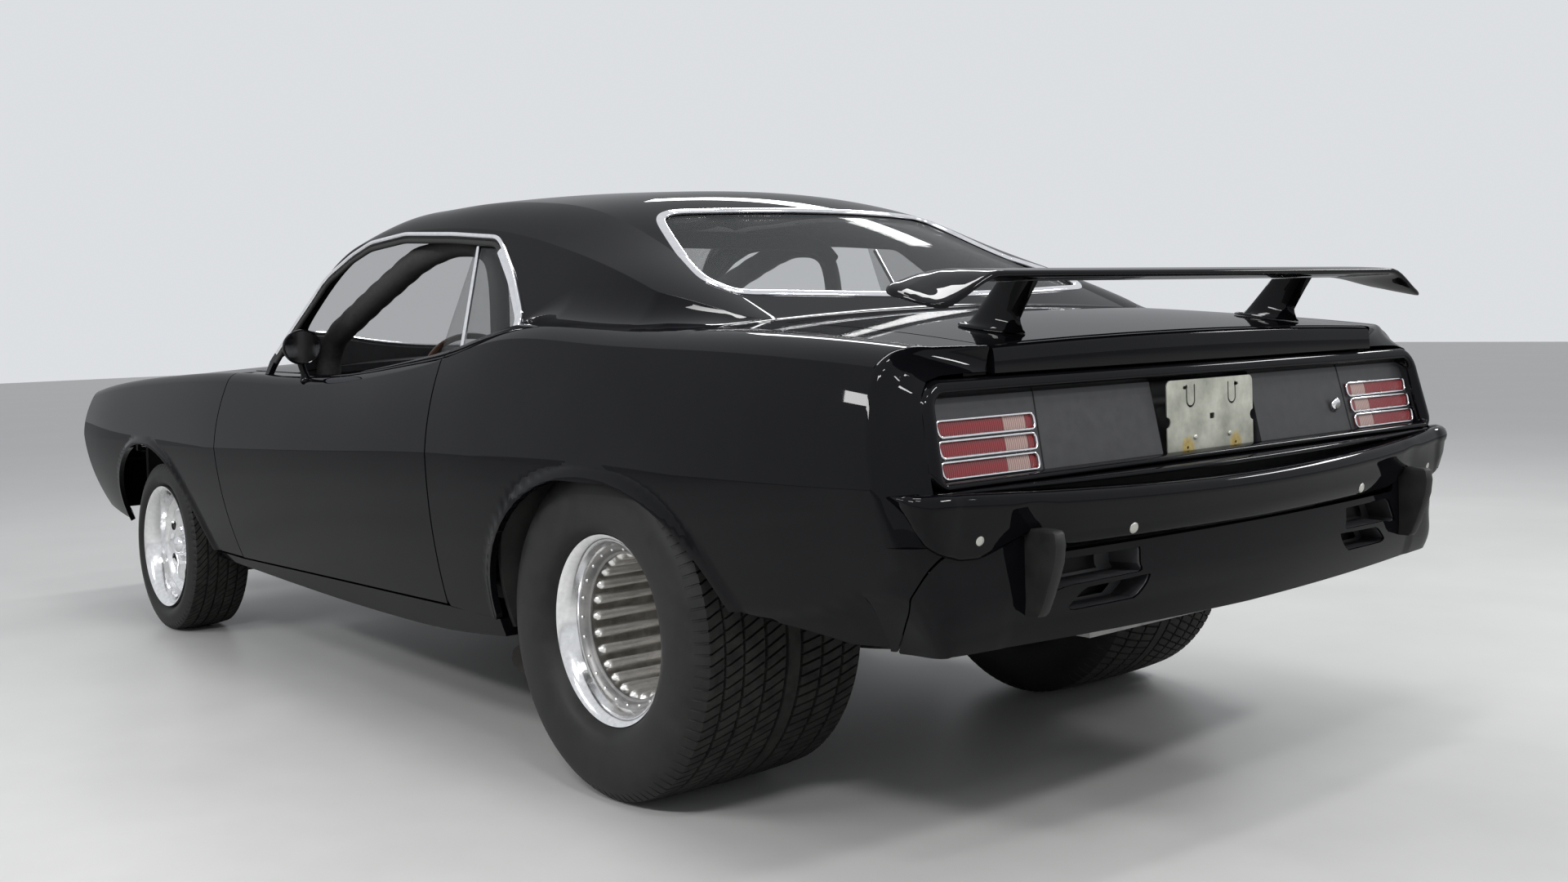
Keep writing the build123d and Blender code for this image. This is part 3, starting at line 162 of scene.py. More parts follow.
# The tail frame's corners, as (across, height, rounding), from the upper left one
FRAME_CORNERS = [(838, 923, 52), (-838, 923, 52), (-847, 733, 34), (847, 733, 34)]
TAIL_MIDDLE_Z = 800
# The tail frame's section: how far in, and how far forward
FRAME_DEPTHS = [
    (0, 24), (0, 8), (1, 2), (4, -2), (9, -4), (17, -4), (22, -2), (25, 3), (27, 10), (29, 20),
    (34, 26),
]
SEAM_Y = 529
LEDGE_SHAPE = [(0, -60), (0, 0), (-2, 4), (-6, 5), (-9, 3), (-9, -60)]
# The plate's pocket in the tail panel and the bare bracket in it
POCKET_Y = 172
POCKET_LOW = 738
POCKET_HIGH = 893
PLATE_X = -2221
PLATE_Y = 150
PLATE_LOW = 736
PLATE_HIGH = 890
PLATE_SLOT_Y = 88.9
LOCK_PLACE = (-480, 805)
# Each tail lamp's inner and outer edge, foot and head
LAMP_SLOTS = [(550, 806, 750, 779), (546, 803, 786, 815), (542, 800, 822, 851)]
# The rear bumper's section: depth, then height from its top, foot or middle
BUMPER_SHAPE = [
    (56, "t", -2), (44, "t", -6), (33, "t", -4), (24, "t", -1), (16, "t", 0), (9, "t", -3),
    (4, "t", -8), (1, "t", -15), (0, "t", -23), (1.5, "t", -30), (5, "t", -36), (9, "m", 0.55),
    (17, "m", 0.12), (20, "b", 4), (24, "b", 0), (34, "b", 2), (56, "b", 6),
]
# The guards' heights, faces, shares of their width and edge rounding
GUARD_LEVELS = [
    (656, -2336, 0.86, 6), (655, -2345, 0.92, 7), (650, -2351, 0.97, 8), (630, -2354, 1.0, 8),
    (600, -2350, 1.0, 8), (570, -2340, 1.0, 8), (535, -2326, 1.0, 8), (508, -2314, 0.97, 8),
    (500, -2306, 0.92, 6),
]
# Wheel parts as turned sections: place across the car, radius
REAR_LIP = [
    (828, 176), (836, 180), (848, 184), (858, 189), (866, 196), (870, 203), (871.5, 207), (869, 207.7),
    (858, 207.7), (852, 204), (846, 191), (700, 191), (640, 188), (560, 187), (520, 190), (478, 190.5),
    (474, 207), (466.5, 207), (468, 200), (480, 184), (560, 178), (612, 178), (640, 180), (806, 180),
    (808, 176),
]
REAR_STEP = [
    (829, 177), (827, 172), (823, 168), (817, 166), (813, 164), (811, 160), (811, 158), (806, 158),
    (806, 176), (812, 178),
]
REAR_CAP = [(612, 0.5), (612, 30), (608, 34), (596, 36), (592, 36), (592, 0.5)]
FRONT_LIP = [
    (800, 172), (820, 176), (846, 182), (858, 189), (866, 196), (870, 203), (871.5, 207), (869, 207.7),
    (858, 207.7), (852, 204), (846, 191), (760, 184), (720, 190.5), (698, 191), (694, 207),
    (690.5, 207), (692, 198), (700, 184), (760, 172), (790, 168),
]
FRONT_CAP = [(838, 0.5), (836, 16), (830, 27), (820, 32), (796, 34), (790, 34), (790, 0.5)]
FRONT_DISC = [(778, 20), (778, 136), (772, 138), (764, 138), (764, 20)]
# The drum bars' places across the car and shares of their width
BAR_STATIONS = [
    (604, 0.15), (606, 0.55), (611, 0.85), (619, 1.0), (700, 0.94), (785, 1.0), (797, 0.92),
    (803, 0.55), (806, 0.12),
]
# The mirror shell's places along the car and radii
MIRROR_SHELL = [
    (280, 1), (279, 18), (275, 32), (266, 46), (254, 55), (242, 59), (235, 58), (234, 55), (238, 53),
]
# The wing: length, half span, where its ends start to round, and its posts' places
WING_LENGTH = 188
WING_HALF = 832
WING_END = 46
POST_Y = 474
POST_X = -2045
POST_FOOT_Z = 1010
# The wing's section: shares of its length from the nose and of its thickness
WING_SECTION = [
    (0.0, 0.0), (0.006, 0.30), (0.03, 0.56), (0.09, 0.80), (0.2, 0.96), (0.36, 1.0), (0.55, 0.86),
    (0.75, 0.66), (0.93, 0.46), (0.985, 0.36), (1.0, 0.1), (1.0, -0.14), (0.985, -0.34), (0.93, -0.42),
    (0.75, -0.46), (0.55, -0.5), (0.36, -0.5), (0.2, -0.52), (0.09, -0.46), (0.03, -0.34),
    (0.006, -0.18),
]
# The padded bars inside the roof
PILLAR_BAR = [
    (-392, 596, 330), (-392, 606, 700), (-392, 604, 1120), (-372, 602, 1216), (-300, 606, 1246),
    (-160, 622, 1250), (-13, 640, 1223), (260, 640, 1122), (547, 640, 1008), (592, 644, 962),
    (604, 646, 880),
]
ROOF_HOOP = [
    (-390, 598, 1206), (-388, 560, 1246), (-386, 460, 1262), (-386, 0, 1268), (-386, -460, 1262),
    (-388, -560, 1246), (-390, -598, 1206),
]
DRUM_R = 166
REAR_DRUM = [(811, 159), (808, 162)] + [(y, DRUM_R) for y in np.linspace(804, 614, 12)]
REAR_DRUM += [
    (608, 158), (602, 146), (598, 120), (597, 96), (600, 72), (604, 62), (598, 58), (596, 40),
    (590, 40), (590, 60), (588, 150), (600, 176), (806, 176),
]
# Softboxes in metres: place, size and power
SOFTBOXES = [
    ((-3.5, 4.5, 4.2), (1.8, 0.4), 260), ((0.5, 5.5, 3.6), (3.0, 0.35), 260),
    ((-5.5, -1.5, 4.0), (1.4, 0.4), 240), ((0.5, 0.0, 5.5), (3.6, 0.5), 260),
    ((3.5, -4.5, 4.5), (3.0, 0.5), 200), ((-2.4, 0.6, 5.6), (1.2, 0.3), 130),
    ((-2.8, -5.2, 3.7), (2.6, 0.3), 160), ((-4.6, 2.4, 5.2), (1.0, 0.3), 90),
]
SOFTBOX_AIM = (-0.4, 0.0, 0.6)
# The camera in metres and radians, with its focal length and centre in pixels of the photograph
CAMERA_PLACE = (-4.1547, 2.7825, 1.0525)
CAMERA_TURN = (-0.7115, 0.0124, -0.0259)
PHOTO_SIZE = (1920, 1080)
FOCAL_PIXELS = 1948.04
PHOTO_CENTRE = (980.88, 403.24)
SENSOR = 36
# Steering wheel: centre, axis, radius to its rim and the rim's own radius
STEER_CENTRE = (98.0, 385.0, 820.0)
STEER_AXIS = (-0.92, 0, 0.39)
STEER_R = 194
STEER_RIM_R = 9.5
SPOKE = [(13, -1.5), (13, 1), (11, 2), (-11, 2), (-13, 1), (-13, -1.5)]
# Mirror head: its centre across and up, and its width and height against its radii
MIRROR_Y = 886
MIRROR_STEM = [(262, 868, 884), (262, 872, 905), (262, 880, 930), (260, 886, 950)]
MIRROR_Z = 982
MIRROR_OVAL = (0.97, 0.86)
# Cushions: their lines seen from the side, depth of a sewn channel and height of a welt
SEAT_LINE = [(-248, 386), (0, 392), (254, 399)]
BACK_LINE = [(-206, 432), (-262, 640), (-336, 886)]
CHANNEL_DEPTH = 5.0
WELT = 3.5
# Tyres: depth of the tread, crown of the tread and depth of the marks on the shoulder
TREAD_DEPTH = 8.5
TREAD_CROWN = 5.5
SHOULDER_MARK = 2.5
# Each pair: end, name, inner and outer side, tread, rim's half width and radii, pitches, rings, plain band
TYRES = [
    ("rear", "wide", 432, 905, 400, (203, 190.5, RIM_R), 96, [-152, -92, -34, 6, 62, 118, 165], -14),
    ("front", "narrow", 672, 880, 168, (91, 190.5, RIM_R), 76, [-50, -17, 17, 50], -200),
]
# The rear bumper's end in plan, and crosswise bows: place of their middle's chord and their depth
BUMPER_PLAN = [(-2206, 913), (-2228, 914), (-2250, 908), (-2267, 892), (-2278, 865), (-2284, 835)]
BUMPER_ARC = (2262, 90)
VALANCE_ARC = (2240, 78)
ARC_HALF = 930
# The seam between valance and quarter, as (along, height)
SEAM_LINE = [(-2262, 640), (-2246, 610), (-2190, 520), (-2117, 436)]
# The valance vents' upper and lower openings, as (across, height)
VENT_HIGH = [(362, 592), (362, 560), (352, 545), (552, 541), (598, 533), (606, 540), (578, 584), (560, 592)]
VENT_LOW = [(332, 538), (345, 518), (372, 496), (540, 494), (556, 500), (522, 526), (505, 533)]
VENT_HOLES = [VENT_HIGH, VENT_LOW]
# Each axle's place along the car and height
AXLES = {"rear": (REAR_AXLE_X, REAR_TYRE_R), "front": (FRONT_AXLE_X, FRONT_TYRE_R)}


# Surfaces from the section tables


def spline_table(table, xs):
    """Every column of a section table at the places xs, on natural cubic splines."""
    rows = table[np.argsort(table[:, 0])]
    x = rows[:, 0]
    y = rows[:, 1:]
    n = len(x)
    h = np.diff(x)
    system = np.eye(n)
    right = np.zeros_like(y)
    for i in range(1, n - 1):
        system[i, i - 1:i + 2] = h[i - 1], 2 * (h[i - 1] + h[i]), h[i]
        right[i] = 6 * ((y[i + 1] - y[i]) / h[i] - (y[i] - y[i - 1]) / h[i - 1])
    bend = np.linalg.solve(system, right)
    k = np.clip(np.searchsorted(x, xs) - 1, 0, n - 2)
    a = ((x[k + 1] - xs) / h[k])[:, None]
    b = 1 - a
    curve = (a ** 3 - a) * bend[k] + (b ** 3 - b) * bend[k + 1]
    return a * y[k] + b * y[k + 1] + curve * (h[k] ** 2 / 6)[:, None]


def round_angles(count):
    """Even angles once round, without the last."""
    return np.linspace(0, 2 * math.pi, count, endpoint=False)


def eased(count):
    """Shares from 0 to 1, closer together at both ends."""
    return (1 - np.cos(np.linspace(0, math.pi, count))) / 2


def bowed(p, q, bulge, s):
    """Points on the bowed lines from p to q, each (rows, 2), at the shares s."""
    d = q - p
    normal = np.stack([d[:, 1], -d[:, 0]], 1) / np.hypot(d[:, 0], d[:, 1])[:, None]
    s = s[None, :, None]
    return p[:, None] + d[:, None] * s + normal[:, None] * (4 * bulge * s * (1 - s))


def body_marks(xs):
    """The lower body's foot, crease, shoulder, edge and middle points, as (y, z) rows."""
    v = spline_table(BODY, xs)
    side = v[:, [5, 4]]
    edge = side + np.stack([-v[:, 7], v[:, 8]], 1)
    middle = np.stack([0 * xs, v[:, 6]], 1)
    return v[:, [1, 0]], v[:, [3, 2]], side, edge, middle


def over_top(edge, middle, s):
    """Points on the crowned top from its edge to the middle of the car."""
    y = edge[:, :1] * (1 - s)
    z = edge[:, 1:] + (middle[:, 1:] - edge[:, 1:]) * (1 - (1 - s) ** 2)
    return np.stack([y, z], 2)


def body_rows(xs):
    """Half sections of the lower body from the foot to the middle."""
    foot, crease, side, edge, middle = body_marks(xs)
    parts = [
        bowed(foot, crease, 16, eased(26))[:, :-1],
        bowed(crease, side, 9, eased(18))[:, :-1],
        bowed(side, edge, 12, eased(10))[:, :-1],
        over_top(edge, middle, 1 - np.linspace(1, 0, 40) ** 1.15),
    ]
    return np.concatenate(parts, 1)


def roof_rows(xs):
    """Half sections of the roof and pillars from low on the side to the middle."""
    v = spline_table(ROOF, xs)
    corner = v[:, 0:2]
    top = v[:, 2:4]
    foot_y = corner[:, 0] + PILLAR_LEAN * (corner[:, 1] - PILLAR_FOOT_Z)
    foot = np.stack([foot_y, 0 * xs + PILLAR_FOOT_Z], 1)
    middle = np.stack([0 * xs, v[:, 4]], 1)
    return np.concatenate([bowed(foot, corner, 0, np.linspace(0, 1, ROOF_COUNTS[0]))[:, :-1],
                           bowed(corner, top, 10, eased(ROOF_COUNTS[1]))[:, :-1],
                           over_top(top, middle, np.linspace(0, 1, ROOF_COUNTS[2]))], 1)


def run_of(line):
    """Distance of each point of a line from its start."""
    return np.concatenate([[0], np.cumsum(np.linalg.norm(np.diff(line, axis=0), axis=1))])


def along(line, far):
    """Points on a line at the given distances from its start."""
    start = run_of(line)
    return np.stack([np.interp(far, start, line[:, k]) for k in range(line.shape[1])], 1)


def settled(line, rounds):
    """A line or row of values with its corners eased, its ends kept."""
    for _ in range(rounds):
        line[1:-1] = (line[:-2] + 2 * line[1:-1] + line[2:]) / 4
    return line


def at_width(line, y, values):
    """Values along a line that runs inwards, where it passes the width y."""
    return np.interp(-np.asarray(y), -line[:, 0], values)


def plain_row(upper):
    """The shell's row where there is no roof: shoulder and deck, with as many points as a roofed row."""
    low_far = at_width(upper, 756, run_of(upper))
    shoulder = along(upper, eased(SHELL_LOW[2]) * (low_far - 1))
    blend = along(upper, low_far + np.linspace(0, 1, SHELL_BLEND))
    y = np.concatenate([np.linspace(754, 702, SHELL_HIGH[0]), np.linspace(700, 602, SHELL_HIGH[1]),
                        600 * (1 - np.linspace(0, 1, SHELL_HIGH[2]))])
    rest = np.stack([y, at_width(upper, y, upper[:, 1])], 1)
    return np.concatenate([shoulder, blend, rest])


def shell_row(upper, roof, radius):
    """A half section above the side, with a soft hollow where the sail panel meets the shoulder."""
    above = roof[:, 1] - at_width(upper, roof[:, 0], upper[:, 1])
    if not (above > 0).any():
        return plain_row(upper)
    start = np.argmax(above > 0)
    if start == 0 or above[start:].min() < -30:
        return plain_row(upper)
    share = above[start] / (above[start] - above[start - 1])
    joint = roof[start] * (1 - share) + roof[start - 1] * share
    reach = at_width(upper, joint[0], run_of(upper))
    tail = np.concatenate([[joint], roof[start:]])
    far = run_of(tail)
    corner = ROOF_COUNTS[0] - start
    top = ROOF_COUNTS[0] + ROOF_COUNTS[1] - 1 - start
    corner_far = far[max(corner, 1)]
    top_far = far[max(top, 2)]
    radius = min(radius, 0.8 * reach, 0.8 * max(top_far, 8))
    a = along(upper, [reach - radius])[0]
    c = along(tail, [radius])[0]
    t = np.linspace(0, 1, SHELL_BLEND)[:, None]
    blend = a * (1 - t) ** 2 + joint * 2 * t * (1 - t) + c * t ** 2
    shoulder = along(upper, eased(SHELL_LOW[2]) * (reach - radius - 1))
    start_far = radius + 1
    corner_far = max(corner_far, start_far + 3)
    top_far = max(top_far, corner_far + 3)
    stops = np.concatenate([
        np.linspace(start_far, corner_far, SHELL_HIGH[0], endpoint=False),
        corner_far + (top_far - corner_far) * eased(SHELL_HIGH[1] + 1)[:-1],
        np.linspace(top_far, far[-1], SHELL_HIGH[2]),
    ])
    return np.concatenate([shoulder, blend, along(tail, stops)])


def shell_rows(xs):
    """Half sections of body and roof together."""
    foot, crease, side, edge, middle = body_marks(xs)
    low = np.concatenate([bowed(foot, crease, 16, eased(SHELL_LOW[0]))[:, :-1],
                          bowed(crease, side, 9, eased(SHELL_LOW[1]))[:, :-1]], 1)
    upper = np.concatenate([bowed(side, edge, 12, eased(30))[:, :-1],
                            over_top(edge, middle, 1 - np.linspace(1, 0, 60) ** 1.15)], 1)
    roof = roof_rows(xs)
    radius = np.interp(xs, [-1000, -800], [BLEND_R, 6])
    high = [plain_row(upper[i]) if x < ROOF[:, 0].min() else shell_row(upper[i], roof[i], radius[i])
            for i, x in enumerate(xs)]
    return np.concatenate([low, np.stack(high)], 1)


def full_grid(xs, rows):
    """(rows, columns, 3) points over both sides, from half sections that end at the middle."""
    left = np.concatenate([np.repeat(xs[:, None, None], rows.shape[1], 1), rows], 2)
    right = left[:, -2::-1].copy()
    right[:, :, 1] *= -1
    return np.concatenate([left, right], 1)


def half_grid(xs, rows):
    """(rows, columns, 3) points over the left side."""
    return np.concatenate([np.repeat(xs[:, None, None], rows.shape[1], 1), rows], 2)


def places(grid):
    """Each point's place along the car, distance from its middle and height."""
    return grid[:, :, 0], np.abs(grid[:, :, 1]), grid[:, :, 2]


def cut_away(field, where, distance):
    """Adds a cut to a field, in one part of the grid only."""
    return np.maximum(field, np.where(where, distance, -FAR_INSIDE))


def grid_normals(points):
    """Outward normals of a grid whose rows run along the car and columns round it."""
    du = np.gradient(points, axis=0)
    dv = np.gradient(points, axis=1)
    n = np.cross(dv, du)
    return n / (np.linalg.norm(n, axis=2)[:, :, None] + 1e-12)


def polygon_distance(points, px, py):
    """Signed distance to a closed outline, negative inside."""
    corners = np.array(points, float)
    best = np.full(px.shape, 1e9)
    inside = np.zeros(px.shape, bool)
    for a, b in zip(corners, np.roll(corners, -1, 0)):
        e = b - a
        wx = px - a[0]
        wy = py - a[1]
        t = np.clip((wx * e[0] + wy * e[1]) / (e @ e), 0, 1)
        best = np.minimum(best, np.hypot(wx - e[0] * t, wy - e[1] * t))
        crosses = (a[1] > py) != (b[1] > py)
        with np.errstate(divide="ignore", invalid="ignore"):
            at = a[0] + (py - a[1]) / (b[1] - a[1] + 1e-12) * (b[0] - a[0])
        inside ^= crosses & (px < at)
    return np.where(inside, -best, best)


def ellipse_distance(arch, px, pz):
    """Rough signed distance to a wheel arch, negative inside."""
    x, z, a, b = arch
    u = (px - x) / a
    w = (pz - z) / b
    r = np.hypot(u, w) + 1e-9
    slope = np.hypot(u / a, w / b) / r
    return (r - 1) / slope


def smooth_outline(points, reach, step=6.0):
    """A closed outline with its corners rounded over about a reach."""
    closed = np.array(list(points) + [points[0]], float)
    far = run_of(closed)
    stops = np.linspace(0, far[-1], int(far[-1] / step), endpoint=False)
    line = along(closed, stops)
    offsets = np.arange(-int(3 * reach / step), int(3 * reach / step) + 1)
    weights = np.exp(-0.5 * (offsets * step / reach) ** 2)
    weights /= weights.sum()
    return sum(w * np.roll(line, k, 0) for k, w in zip(offsets, weights))


def raise_lip(grid, arch):
    """Swells a side grid into the rounded lip round a wheel arch."""
    x, z = grid[:, :, 0], grid[:, :, 2]
    width, proud = ARCH_LIP
    far = ellipse_distance(arch, x, z)
    rise = proud * np.cos(np.clip(far / width, -0.2, 1) * math.pi / 2) ** 0.8
    rise = np.where((far < width) & (z < 760), rise, 0)
    return grid + grid_normals(grid) * rise[:, :, None]


def curve_outline(corners, bends):
    """An outline in plan through corners, with the middle points of its curved sides."""
    out = []
    for i, (p, q) in enumerate(zip(corners, corners[1:] + corners[:1])):
        out.append(p)
        if i in bends:
            m = bends[i]
            for t in np.linspace(0, 1, 21)[1:-1]:
                x = p[0] + (q[0] - p[0]) * t + (m[0] - (p[0] + q[0]) / 2) * 4 * t * (1 - t)
                y = p[1] + (q[1] - p[1]) * t + (m[1] - (p[1] + q[1]) / 2) * 4 * t * (1 - t)
                out.append((x, y))
    return out


side_outline = smooth_outline(SIDE_WINDOW, 14, 10.0)
windshield_outline = curve_outline(
    [(562, -752), (562, 752), (215, 622), (215, -622)], {0: (826, 0), 2: (172, 0)})
backlight_outline = curve_outline(
    [(-930, -446), (-958, -484), (-1325, -624), (-1402, -596), (-1402, 596), (-1325, 624), (-958, 484),
     (-930, 446)],
    {3: (-1492, 0), 7: (-1030, 0)})
windshield_outline = smooth_outline(windshield_outline, 26, 10.0)
backlight_outline = smooth_outline(backlight_outline, 34, 10.0)


# Meshes


def clip_grid(points, normals, field):
    """The part of a grid where field is negative, as vertices, normals and faces."""
    n = field.shape[1]
    field = np.where(np.abs(field) < 1e-6, -1e-6, field)
    verts = []
    norms = []
    at_corner = {}
    at_edge = {}
    faces = []

    def corner(i, j):
        key = i * n + j
        if key not in at_corner:
            at_corner[key] = len(verts)
            verts.append(points[i, j])
            norms.append(normals[i, j])
        return at_corner[key]

    def crossing(a, b):
        key = (min(a, b), max(a, b))
        if key not in at_edge:
            fa = field[a]
            fb = field[b]
            t = fa / (fa - fb)
            at_edge[key] = len(verts)
            verts.append(points[a] * (1 - t) + points[b] * t)
            norms.append(normals[a] * (1 - t) + normals[b] * t)
        return at_edge[key]

    inside = field < 0
    quads = inside[:-1, :-1] * 1 + inside[1:, :-1] + inside[1:, 1:] + inside[:-1, 1:]
    for i, j in zip(*np.nonzero(quads)):
        ring = [(i, j), (i, j + 1), (i + 1, j + 1), (i + 1, j)]
        if quads[i, j] == 4:
            faces.append([corner(*c) for c in ring])
            continue
        face = []
        for a, b in zip(ring, ring[1:] + ring[:1]):
            if inside[a]:
                face.append(corner(*a))
            if inside[a] != inside[b]:
                face.append(crossing(a, b))
        if len(face) > 2:
            faces.append(face)
    return np.array(verts), np.array(norms), faces


def finished(name, data, body, finish):
    """A piece from its mesh, on its body and with its finish."""
    obj = bpy.data.objects.new(name, data)
    data.materials.append(finish[0])
    bpy.context.scene.collection.objects.link(obj)
    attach(obj, body)
    return obj


def mesh_piece(name, verts, faces, body, finish, sharp):
    """A piece from vertices in millimetres."""
    data = bpy.data.meshes.new(name)
    data.from_pydata([tuple(float(c) * MM for c in v) for v in verts], [],
                     [list(map(int, f)) for f in faces])
    data.validate()
    for p in data.polygons:
        p.use_smooth = True
    data.set_sharp_from_angle(angle=math.radians(sharp))
    return finished(name, data, body, finish)


def sheet_mesh(name, verts, norms, faces, thickness, body, finish, flip=False):
    """A sheet with a smooth outer skin of given normals, an inner skin and a flat rim."""
    norms = norms / (np.linalg.norm(norms, axis=1)[:, None] + 1e-12)
    if flip:
        faces = [f[::-1] for f in faces]
    count = len(verts)
    inner = verts - norms * thickness
    edges = {}
    for f in faces:
        for a, b in zip(f, f[1:] + f[:1]):
            edges[(a, b)] = True
    rim = [[b, a, a + count, b + count] for a, b in edges if (b, a) not in edges]
    back = [[v + count for v in reversed(f)] for f in faces]
    whole = faces + back + rim
    data = bpy.data.meshes.new(name)
    data.from_pydata((np.concatenate([verts, inner]) * MM).tolist(), [], whole)
    loops = []
    for f in faces:
        loops.extend(norms[v] for v in f)
    for f in back:
        loops.extend(-norms[v - count] for v in f)
    both = np.concatenate([verts, inner])
    for f in rim:
        a, b, c, d = (both[v] for v in f)
        flat = np.cross(c - a, d - b)
        flat = flat / (np.linalg.norm(flat) + 1e-12)
        loops.extend([flat] * 4)
    for p in data.polygons:
        p.use_smooth = True
    data.normals_split_custom_set([tuple(v) for v in loops])
    data.update()
    return finished(name, data, body, finish)


# Materials


def base_material(name, color, roughness, metallic=0.0, coat=0.0, specular=0.5):
    """A material with its main shader, ready for detail."""
    m = bpy.data.materials.new(name)
    m.use_nodes = True
    s = m.node_tree.nodes["Principled BSDF"]
    s.inputs["Base Color"].default_value = (*color, 1)
    s.inputs["Roughness"].default_value = roughness
    s.inputs["Metallic"].default_value = metallic
    s.inputs["Coat Weight"].default_value = coat
    s.inputs["Coat Roughness"].default_value = 0.02
    s.inputs["Specular IOR Level"].default_value = specular
    return m, s, m.node_tree


def noise(tree, scale, detail=4.0, rough=0.55):
    """A noise texture in the object's own space."""
    place = tree.nodes.new("ShaderNodeTexCoord")
    n = tree.nodes.new("ShaderNodeTexNoise")
    n.inputs["Scale"].default_value = scale
    n.inputs["Detail"].default_value = detail
    n.inputs["Roughness"].default_value = rough
    tree.links.new(place.outputs["Object"], n.inputs["Vector"])
    return n


def ramp(tree, source, low, high, at=(0.3, 0.7)):
    """A colour ramp between two colours."""
    r = tree.nodes.new("ShaderNodeValToRGB")
    r.color_ramp.elements[0].position = at[0]
    r.color_ramp.elements[0].color = (*low, 1)
    r.color_ramp.elements[1].position = at[1]
    r.color_ramp.elements[1].color = (*high, 1)
    tree.links.new(source, r.inputs["Fac"])
    return r.outputs["Color"]


def spread(tree, source, low, high):
    """A number mapped from the range 0 to 1 to a range."""
    r = tree.nodes.new("ShaderNodeMapRange")
    r.inputs["To Min"].default_value = low
    r.inputs["To Max"].default_value = high
    tree.links.new(source, r.inputs["Value"])
    return r.outputs["Result"]


def bump(tree, source, shader, strength, distance):
    """Fine relief from a height."""
    b = tree.nodes.new("ShaderNodeBump")
    b.inputs["Strength"].default_value = strength
    b.inputs["Distance"].default_value = distance
    tree.links.new(source, b.inputs["Height"])
    tree.links.new(b.outputs["Normal"], shader.inputs["Normal"])


def worn(name, low, high, rough, metallic=0.0, scale=30.0, relief=0.0, coat=0.0, specular=0.5):
    """A material whose colour, roughness and relief vary finely."""
    m, s, t = base_material(name, low, rough[0], metallic, coat, specular)
    n = noise(t, scale)
    t.links.new(ramp(t, n.outputs["Fac"], low, high), s.inputs["Base Color"])
    t.links.new(spread(t, n.outputs["Fac"], rough[0], rough[1]), s.inputs["Roughness"])
    if relief:
        fine = noise(t, scale * 12, 2.0)
        bump(t, fine.outputs["Fac"], s, relief, 0.0006)
    return m


def paint():
    """Deep gloss black with the faint orange peel and polish haze of real paint."""
    m, s, t = base_material("gloss_black", (0.004, 0.004, 0.005), 0.12, 0.0, 0.45, 0.0)
    s.inputs["Coat IOR"].default_value = 1.4
    n = noise(t, 3.0, 6.0)
    t.links.new(ramp(t, n.outputs["Fac"], (0.002, 0.002, 0.003), (0.004, 0.004, 0.005)),
                s.inputs["Base Color"])
    t.links.new(spread(t, n.outputs["Fac"], 0.09, 0.2), s.inputs["Roughness"])
    peel = noise(t, 260.0, 2.0)
    bump(t, peel.outputs["Fac"], s, 0.02, 0.0004)
    return m


def glass(name, tint, alpha):
    """Thin tinted glass that shows what is behind it."""
    m, s, t = base_material(name, tint, 0.02, 0.0, 0.0, 0.6)
    s.inputs["Alpha"].default_value = alpha
    n = noise(t, 2.0)
    t.links.new(spread(t, n.outputs["Fac"], 0.01, 0.05), s.inputs["Roughness"])
    return m


BLACK = paint()
SATIN = worn("satin_black", (0.018, 0.018, 0.02), (0.03, 0.03, 0.033), (0.38, 0.5), scale=40, relief=0.12)
UNDER = worn("under_coat", (0.012, 0.012, 0.012), (0.03, 0.029, 0.027), (0.6, 0.9), scale=18, relief=0.4)
CHROME = worn("bright_trim_metal", (0.78, 0.78, 0.8), (0.88, 0.88, 0.9), (0.04, 0.12), 1.0, 60)
POLISHED = worn("polished_alloy", (0.76, 0.76, 0.77), (0.9, 0.9, 0.9), (0.08, 0.2), 1.0, 80, 0.05)
BAR_METAL = worn("brushed_bars", (0.84, 0.83, 0.8), (0.95, 0.94, 0.92), (0.14, 0.28), 0.8, 70)
# Metal of the rear drum and wheel centre behind the bars: its dark brownish colour, far darker than polished
# metal, is painted shade for the dark gaps between the bright bars
SHADED_DRUM_ALLOY = worn("drum_alloy_painted_shade", (0.2, 0.19, 0.17), (0.42, 0.4, 0.37), (0.3, 0.5), 0.9, 30, 0.4)
RUBBER = worn("tyre_rubber_black", (0.007, 0.007, 0.007), (0.016, 0.0155, 0.015), (0.45, 0.66), scale=24,
              relief=0.2, specular=0.3)
TREAD = worn("scuffed_tread", (0.014, 0.014, 0.0135), (0.034, 0.033, 0.031), (0.7, 0.9), scale=30,
             relief=0.3,
             specular=0.2)
VINYL = worn("grained_vinyl", (0.012, 0.012, 0.013), (0.022, 0.022, 0.023), (0.35, 0.5), scale=120,
             relief=0.5)
PLASTIC = worn("grained_plastic", (0.014, 0.014, 0.014), (0.024, 0.024, 0.024), (0.4, 0.55), scale=90,
               relief=0.4)
CAST = worn("cast_iron", (0.06, 0.06, 0.058), (0.13, 0.12, 0.11), (0.55, 0.8), 0.6, 30, 0.5)
STEEL = worn("plain_steel", (0.2, 0.2, 0.2), (0.34, 0.33, 0.32), (0.35, 0.55), 0.9, 22, 0.2)
ZINC = worn("galvanised_steel", (0.42, 0.42, 0.38), (0.66, 0.66, 0.6), (0.32, 0.55), 0.7, 14, 0.3)
PIPE = worn("blackened_pipe", (0.02, 0.02, 0.02), (0.06, 0.05, 0.045), (0.45, 0.7), 0.5, 20, 0.3)
GLASS = glass("tinted_glass", (0.02, 0.024, 0.024), 0.28)
RIM_GRIP = worn("rim_grip", (0.03, 0.014, 0.008), (0.07, 0.035, 0.018), (0.3, 0.45), scale=60, relief=0.2,
                coat=0.2)
FOAM = worn("bar_padding", (0.012, 0.011, 0.011), (0.03, 0.028, 0.028), (0.6, 0.8), scale=90, relief=0.6)

